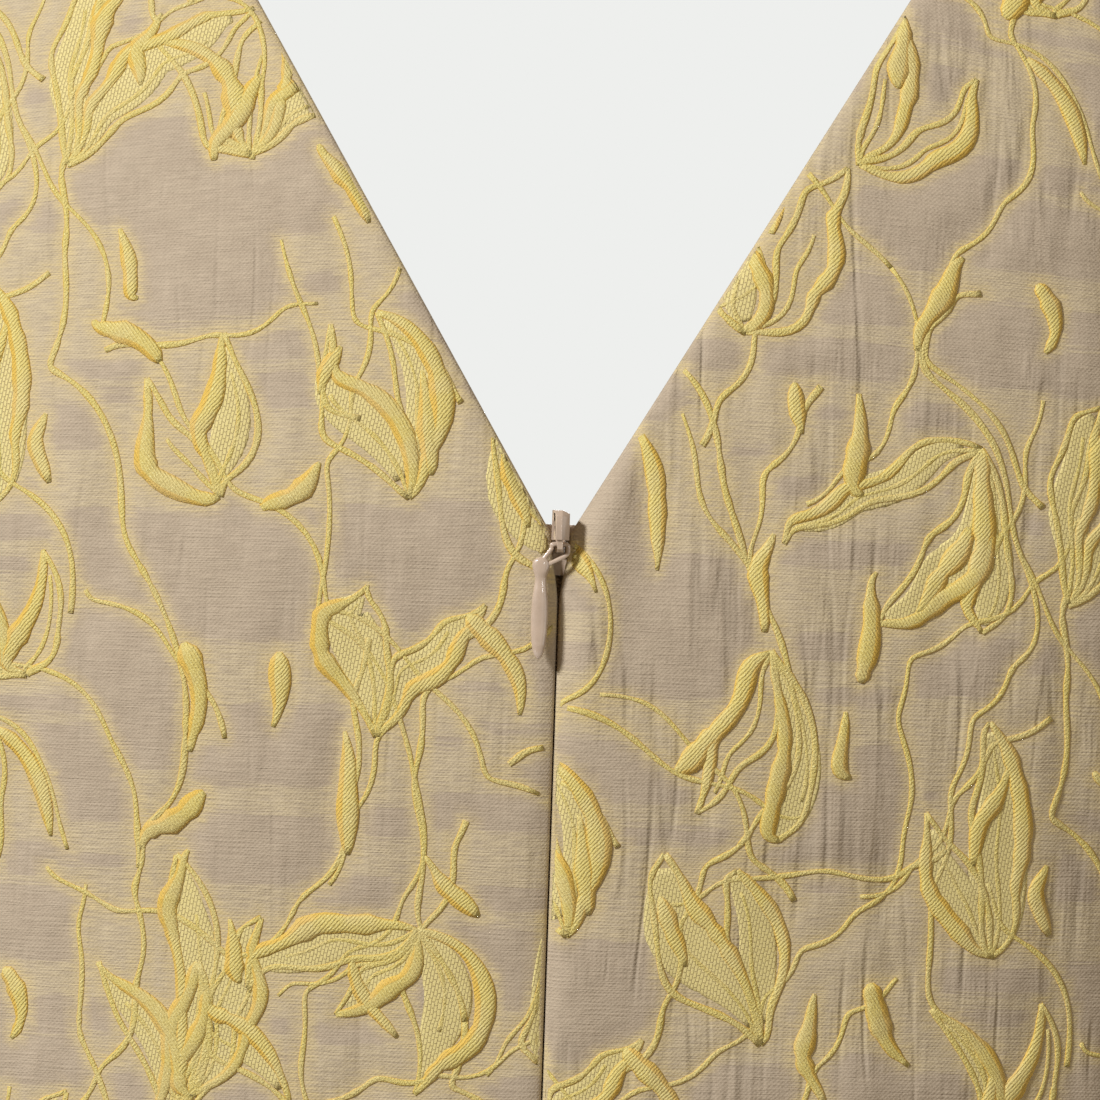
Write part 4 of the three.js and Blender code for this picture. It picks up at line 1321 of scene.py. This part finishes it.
def zip_cord(top, bottom):
    """The flat cord that both sides of the coil are sewn over. Its top is inside the slider."""
    z = np.linspace(top, bottom, int((top - bottom) / CORD["step"]) + 1)
    path = zip_line(0 * z, z, np.full(len(z), CORD["depth"]))
    tangent = unit(np.gradient(path, axis=0))
    across = np.broadcast_to(np.array([1.0, 0.0, 0.0]), path.shape)
    size = [CORD["half"], CORD["thick"] / 2]
    return sweep(path, across, np.cross(tangent, across), outline(12, 4) * size)


SLIDER_EDGE = 0.28  # width of the slider's rounded edges


def clean_copy(node, name, bevel):
    """A copy of a CAD node with its points merged, its flat faces joined and its edges rounded."""
    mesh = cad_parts[node].data.copy()
    mesh.name = name
    solid = bmesh.new()
    solid.from_mesh(mesh)
    bmesh.ops.remove_doubles(solid, verts=solid.verts, dist=1e-6)
    bmesh.ops.dissolve_limit(solid, angle_limit=math.radians(1), verts=solid.verts, edges=solid.edges)
    solid.to_mesh(mesh)
    solid.free()
    mesh.materials.clear()
    made = add(name, mesh)
    rounding = made.modifiers.new("Rounded edges", "BEVEL")
    rounding.width = bevel * MM
    rounding.segments = 3
    rounding.limit_method = "ANGLE"
    rounding.angle_limit = math.radians(28)
    rounding.harden_normals = True
    mesh.polygons.foreach_set("use_smooth", np.ones(len(mesh.polygons), bool))
    return made


# The crown's fold: its place across, how steeply its right side falls back and down from it, and
# how far under the slider's outmost and highest points that reaches.
CROWN_FOLD = {"x": -0.25, "back": 0.6, "down": 0.45, "face": 0.25, "top": 1.2}


def fold_crown(mesh):
    """Turns the right side of the slider's crown back and down, in even slopes from a fold."""
    fold, (_, high) = CROWN_FOLD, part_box("zip_slider")
    solid = bmesh.new()
    solid.from_mesh(mesh)
    bmesh.ops.bisect_plane(solid, geom=[*solid.verts, *solid.edges, *solid.faces],
                           plane_co=(fold["x"] * MM, 0, 0), plane_no=(1, 0, 0))
    solid.to_mesh(mesh)
    solid.free()
    places = np.empty(3 * len(mesh.vertices), np.float32)
    mesh.vertices.foreach_get("co", places)
    places = places.reshape(-1, 3)
    past = np.maximum(fold["x"] * MM - places[:, 0], 0)
    places[:, 1] -= fold["back"] * past * (places[:, 1] > high.y - fold["face"] * MM)
    places[:, 2] -= fold["down"] * past * (places[:, 2] > high.z - fold["top"] * MM)
    mesh.vertices.foreach_set("co", places.ravel())
    mesh.update()


# The pull: the ring's corners from its hinge bar, its wire, and the drop's half width on its way
# down.
RING = np.array([[1.5, 0], [1.5, -0.9], [3.1, -3.0], [2.6, -4.0], [-1.5, -1.9], [-1.5, 0]])
WIRE = 0.8
DROP = {"middle": 3.3, "top": -2.36, "length": 18.5, "half": 1.57, "thick": 1.5}
DROP_DOWN = np.array([0, 0.02, 0.05, 0.08, 0.13, 0.19, 0.23, 0.32, 0.44, 0.6, 0.75, 0.87, 0.95, 1])
DROP_WIDTH = np.array(
    [0.1, 0.72, 1.0, 1.08, 0.96, 0.68, 0.65, 0.78, 0.94, 1.0, 0.94, 0.8, 0.6, 0.1])


def pull_ring(place):
    """The ring: a bent closed loop of wire, its corners cut three times to round them."""
    loop = RING
    for _ in range(3):
        after = np.roll(loop, -1, axis=0)
        loop = np.stack([0.86 * loop + 0.14 * after, 0.14 * loop + 0.86 * after], 1).reshape(-1, 2)
    path = np.stack([loop[:, 0], 0 * loop[:, 0], loop[:, 1]], -1) + place
    tangent = unit(np.roll(path, -1, axis=0) - np.roll(path, 1, axis=0))
    over = np.broadcast_to(np.array([0.0, 1.0, 0.0]), path.shape)
    return sweep(path, np.cross(tangent, over), over, outline(12, 2.6) * WIRE / 2, closed=True)


def pull_drop(place):
    """The drop: rounded outlines whose half width follows DROP_WIDTH, closed at both ends.

    Its head is a ball and its body flatter.
    """
    t = np.concatenate([[0, 0.002, 0.007, 0.015], np.linspace(0.025, 0.975, 60), [0.985, 0.993, 1.0]])
    width = np.interp(t, DROP_DOWN, DROP_WIDTH)
    for _ in range(3):
        width[1:-1] = (width[:-2] + 2 * width[1:-1] + width[2:]) / 4
    half = DROP["half"] * width
    deep = DROP["thick"] / 2 * np.minimum(width * 1.25, 1.0)
    section = outline(28, 2.15)
    z = DROP["top"] - DROP["length"] * t
    points = np.stack([
        DROP["middle"] + section[:, 0] * half[:, None],
        -section[:, 1] * deep[:, None],
        np.broadcast_to(z[:, None], (len(t), len(section))),
    ], -1) + place
    path = np.zeros((len(t), 3))
    _, quads, caps = sweep(path, path, path, section)
    return points.reshape(-1, 3), quads, caps


# ------------------------------------------------------------------ settings

def colour_property(name, description, default):
    return bpy.props.FloatVectorProperty(
        name=name, description=description, default=default, subtype="COLOR", min=0, max=1)


class DressColours(bpy.types.PropertyGroup):
    """Colours of the cloth, the zip and the floor."""

    ground: colour_property("Ground", "Beige ground of the cloth", srgb(190, 173, 149))
    ground_deep: colour_property("Ground, deeper", "Deeper patches of the ground", srgb(181, 164, 141))
    ground_pale: colour_property("Ground, paler", "Slubs in the ground", srgb(200, 184, 158))
    haze: colour_property("Haze", "Where yellow weft floats between lines", srgb(212, 195, 155))
    halo: colour_property("Halo", "Ground right beside a raised line", srgb(220, 196, 128))
    line: colour_property("Line", "Raised yellow yarn", srgb(221, 203, 120))
    # Glints: a painted highlight on the yarn's ribs.
    glint: colour_property("Glints", "Brightest threads of the yarn", srgb(244, 235, 168))
    # Line grooves: painted shade between the ribs of the yarn.
    line_shade: colour_property("Line grooves", "Between the ribs of the yarn", srgb(206, 180, 86))
    # Line flanks: the yarn's deeper gold and painted shade on the raised yarn's sides.
    line_flank_gold_and_shade: colour_property("Line flanks", "Golden sides of the raised yarn", srgb(224, 184, 78))
    net: colour_property("Net", "Dashes of the net", srgb(228, 212, 146))
    net_shade: colour_property("Net gaps", "Between the dashes of the net", srgb(200, 180, 124))
    tape: colour_property("Tape", "Zip tape and coil", srgb(160, 138, 110))
    lacquer: colour_property("Lacquer", "Slider and pull", srgb(200, 178, 156))
    floor: colour_property("Floor", "Studio floor", srgb(236, 235, 232))


def number_property(name, description, default, **limits):
    return bpy.props.FloatProperty(
        name=name, description=description, default=default, **{"min": 0, **limits})


class DressCloth(bpy.types.PropertyGroup):
    """Sizes of the cloth's surface, in millimetres."""

    puff: number_property("Puff", "How far the ground swells between lines", 0.45, max=2)
    crinkle: number_property("Crinkle", "Depth of the upright waves", 0.16, max=1)
    line_height: number_property(
        "Line height", "Height of the raised lines, as a share", 0.72, min=0.2, max=2, subtype="FACTOR")


class DressStudio(bpy.types.PropertyGroup):
    """Light and camera."""

    key: number_property("Key light", "Power of the key light", 285.0, unit="POWER")
    side: number_property(
        "Side light", "Power of the soft light on the wearer's right", 8.0, unit="POWER")
    glint: number_property(
        "Glint", "Power of the small light that gleams on the pull", 3.5, unit="POWER")
    front: number_property(
        "Front light", "Power of the soft light on the front", 120.0, unit="POWER")
    fill: number_property("Fill", "Strength of the light from all round", 0.17)
    lens: number_property("Lens", "Focal length of the camera", 254.0, min=20, unit="CAMERA")


# ------------------------------------------------------------------ operators

# The part of the backs where raised lines keep every section: how far it reaches from the centre
# seam, and from where to where up from the underarm.
FINE = {"beside": 118.0, "up": (-90.0, 172.0)}
# How many sections apart lines and nets are kept elsewhere.
FAR_STEP = {"lines": 4, "nets": 3}


def panel_cloth(name):
    """The shell and the raised pattern of one panel, in the place of its CAD node."""
    halves = dressed_halves(name)
    face = PANELS[name]["face"]
    line, net = line_material(), net_material()
    body = shell(name, halves, [ground_material()])

    def fine(step, place, inset=0.0):
        beside, (low, high) = np.abs(place[:, 0]), FINE["up"]
        return ((face == "back") & (beside < FINE["beside"] - inset)
                & (place[:, 1] > low + inset) & (place[:, 1] < high - inset))

    def far(kind):
        apart = FAR_STEP[kind]
        return lambda step, place: ~fine(step, place, apart * SPACING) & (step % apart == 0)

    far_lines = raised(name, halves, 0, FAR_SECTION, far("lines"))
    far_nets = raised(name, halves, 1, FAR_NET_SECTION, far("nets"))
    pieces = [raised_piece(name, "pattern", halves, [(far_lines, line), (far_nets, net)])]
    if face == "back":
        lines = raised(name, halves, 0, LINE_SECTION, fine)
        nets = raised(name, halves, 1, NET_SECTION, fine)
        pieces.append(raised_piece(name, "pattern_bodice", halves, [(lines, line), (nets, net)]))
    for piece in (body, *pieces):
        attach(piece, "dress")
    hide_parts(name)


class DRESS_OT_backs(bpy.types.Operator):
    """Add the two back panels with their raised pattern"""

    bl_idname = "dress.backs"
    bl_label = "Back panels"

    def execute(self, context):
        for name in ("back_left", "back_right"):
            panel_cloth(name)
        return {"FINISHED"}


class DRESS_OT_front(bpy.types.Operator):
    """Add the front panel with its raised pattern"""

    bl_idname = "dress.front"
    bl_label = "Front panel"

    def execute(self, context):
        panel_cloth("front")
        return {"FINISHED"}


class DRESS_OT_zip(bpy.types.Operator):
    """Add the coil and the slider, and finish the tapes and the stop"""

    bl_idname = "dress.zip"
    bl_label = "Zip"

    def execute(self, context):
        low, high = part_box("zip_chain")
        top, bottom = high.z / MM - COIL["inset"], low.z / MM + COIL["inset"]
        coils = [zip_coil(side, top, bottom) for side in (1, -1)]
        points, quads, caps = joined([*coils, zip_cord(top + CORD["rise"], bottom)])
        coil = make_mesh("zip_coil", points, quads, caps, materials=[nylon_material()])
        slider = clean_copy("zip_slider", "zip_slider_rounded", SLIDER_EDGE)
        fold_crown(slider.data)
        slider.data.materials.append(lacquer_material())
        for piece, node, slot in (
                (coil, "zip_chain", "zip_nylon"), (slider, "zip_slider", "zip_lacquer")):
            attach(piece, "dress")
            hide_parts(node)
        for node, material in (("zip_tape_left", tape_material()), ("zip_tape_right", tape_material()),
                               ("zip_stop", lacquer_material())):
            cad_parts[node].data.materials.clear()
            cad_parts[node].data.materials.append(material)
        return {"FINISHED"}


class DRESS_OT_pull(bpy.types.Operator):
    """Add the pull: a ring of wire and a long drop"""

    bl_idname = "dress.pull"
    bl_label = "Zip pull"

    def execute(self, context):
        low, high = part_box("zip_pull")
        hinge = np.array([0, (low.y + high.y) / 2 / MM, high.z / MM - WIRE / 2])
        points, quads, caps = joined([pull_ring(hinge), pull_drop(hinge)])
        pull = make_mesh("zip_pull_drop", points, quads, caps, materials=[lacquer_material()])
        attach(pull, "pull")
        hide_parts("zip_pull")
        return {"FINISHED"}


# Places and distances of the stage are in metres, but the floor's reach is in millimetres.
FLOOR_DROP = 0.27  # from the hem to the floor
FLOOR_REACH = 3000.0
FLOOR_LINES = 7
TARGET = (0.0018, 0.1055, -0.1706)  # what the camera looks at
CAMERA_DISTANCE = 1.4
CAMERA_ROLL = -1.9  # degrees
KEY_DISTANCE = 5.0
KEY_WAY = (0.665, 0.585, 0.464)
KEY_SIZE = 0.7
SIDE_DISTANCE = 2.5  # of both small lights on the back
SIDE_WAY = (-0.8, 0.58, 0.15)
SIDE_SIZE = 1.6
GLINT_WAY = (-0.33, 0.94, 0.09)
GLINT_SIZE = 0.3
FRONT_PLACE = (-1.0, -2.9, 1.5)
FRONT_TARGET = (0, 0, -0.5)
FRONT_SIZE = 2.5
FILL_COLOUR = (1.0, 0.76, 0.48, 1.0)
KEY_COLOUR = (0.985, 1.0, 1.05)
BACKGROUND = srgb(238, 239, 237)


def area_light(name, power, size, place, target):
    """A square light that faces its target and that the camera doesn't see."""
    data = bpy.data.lights.new(name, "AREA")
    data.energy, data.size = power, size
    made = add(name, data)
    made.location = place
    made.rotation_euler = (target - place).to_track_quat("-Z", "Y").to_euler()
    made.visible_camera = False
    return made


def lay_floor(colours):
    """The floor: a flat grid under the hem that casts no light back on the dress."""
    places = np.linspace(-FLOOR_REACH, FLOOR_REACH, FLOOR_LINES)
    x, y = np.meshgrid(places, places)
    points = np.stack([x, y, np.full_like(x, HEM - FLOOR_DROP / MM)], -1).reshape(-1, 3)
    quads = grid_quads(np.arange(x.size).reshape(x.shape))
    material, graph, shader = new_material("studio_floor", Specular_IOR_Level=0.2)
    where = graph.node("ShaderNodeTexCoord").outputs["Object"]
    cloud = graph.remap(graph.noise(where, 0.002, 3), 0.3, 0.7, 0.0, 0.06)
    dark = darker(colours.floor, 0.8)
    finish(material, graph, shader, graph.mix(cloud, rgba(colours.floor), dark), 0.8)
    floor = make_mesh("studio_floor", points, quads, materials=[material])
    floor.visible_diffuse = False
    floor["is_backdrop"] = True


def set_lights(studio, target):
    """The key light, the two small lights on the back and the soft one on the front."""
    key = area_light("key", studio.key, KEY_SIZE, target + Vector(KEY_WAY) * KEY_DISTANCE, target)
    key.data.color = KEY_COLOUR
    for name, power, size, way in (("side", studio.side, SIDE_SIZE, SIDE_WAY),
                                   ("glint", studio.glint, GLINT_SIZE, GLINT_WAY)):
        area_light(name, power, size, target + Vector(way) * SIDE_DISTANCE, target)
    area_light("front fill", studio.front, FRONT_SIZE, Vector(FRONT_PLACE), Vector(FRONT_TARGET))


def fill_world(scene, strength):
    """Light from all round, behind a plain pale background."""
    world = scene.world or bpy.data.worlds.new("studio")
    scene.world = world
    world.use_nodes = True
    world.node_tree.nodes.clear()
    sky = Graph(world.node_tree)
    seen = sky.node("ShaderNodeBackground", {}, {"Color": rgba(BACKGROUND)})
    fill = sky.node("ShaderNodeBackground", {}, {"Color": FILL_COLOUR, "Strength": strength})
    camera_ray = sky.node("ShaderNodeLightPath").outputs["Is Camera Ray"]
    either = sky.node(
        "ShaderNodeMixShader", {}, {0: camera_ray, 1: fill.outputs[0], 2: seen.outputs[0]})
    sky.node("ShaderNodeOutputWorld", {}, {0: either.outputs[0]})


def set_camera(scene, focal_length, target):
    """The camera: level, straight behind the target and turned a little about its view."""
    lens = bpy.data.cameras.new("camera")
    lens.lens, lens.sensor_width = focal_length, 36.0
    lens.clip_start, lens.clip_end = 0.01, 100.0
    camera = add("camera", lens)
    camera.location = target + Vector((0, CAMERA_DISTANCE, 0))
    camera.rotation_euler = (math.pi / 2, math.radians(CAMERA_ROLL), math.pi)
    scene.camera = camera


class DRESS_OT_stage(bpy.types.Operator):
    """Add the floor, the lights and the camera"""

    bl_idname = "dress.stage"
    bl_label = "Stage"

    def execute(self, context):
        scene = context.scene
        studio, colours = scene.dress_studio, scene.dress_colours
        scene.view_settings.view_transform = "Standard"
        target = Vector(TARGET)
        lay_floor(colours)
        set_lights(studio, target)
        fill_world(scene, studio.fill)
        set_camera(scene, studio.lens, target)
        return {"FINISHED"}


OPERATORS = (DRESS_OT_backs, DRESS_OT_front, DRESS_OT_zip, DRESS_OT_pull, DRESS_OT_stage)


class DRESS_PT_tools(bpy.types.Panel):
    """Sizes, colours and pieces of the dress"""

    bl_label = "Jacquard Dress"
    bl_idname = "DRESS_PT_tools"
    bl_space_type = "VIEW_3D"
    bl_region_type = "UI"
    bl_category = "Dress"

    def draw(self, context):
        for group_name in ("dress_cloth", "dress_colours", "dress_studio"):
            settings = getattr(context.scene, group_name)
            box = self.layout.box()
            for key in type(settings).__annotations__:
                box.prop(settings, key)
        for operator in OPERATORS:
            self.layout.operator(operator.bl_idname)


GROUPS = {"dress_colours": DressColours, "dress_cloth": DressCloth, "dress_studio": DressStudio}


def register():
    for item in (*GROUPS.values(), *OPERATORS, DRESS_PT_tools):
        bpy.utils.register_class(item)
    for name, kind in GROUPS.items():
        setattr(bpy.types.Scene, name, bpy.props.PointerProperty(type=kind))


def unregister():
    for name in GROUPS:
        delattr(bpy.types.Scene, name)
    for item in reversed((*GROUPS.values(), *OPERATORS, DRESS_PT_tools)):
        bpy.utils.unregister_class(item)


def main():
    register()
    bpy.ops.dress.stage()
    bpy.ops.dress.backs()
    bpy.ops.dress.front()
    bpy.ops.dress.zip()
    bpy.ops.dress.pull()
    plain = lambda corners: [list(corner) for corner in corners]
    {"cad": plain(CAD_BOX), "visual": plain(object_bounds())}


if __name__ == "__main__":
    main()
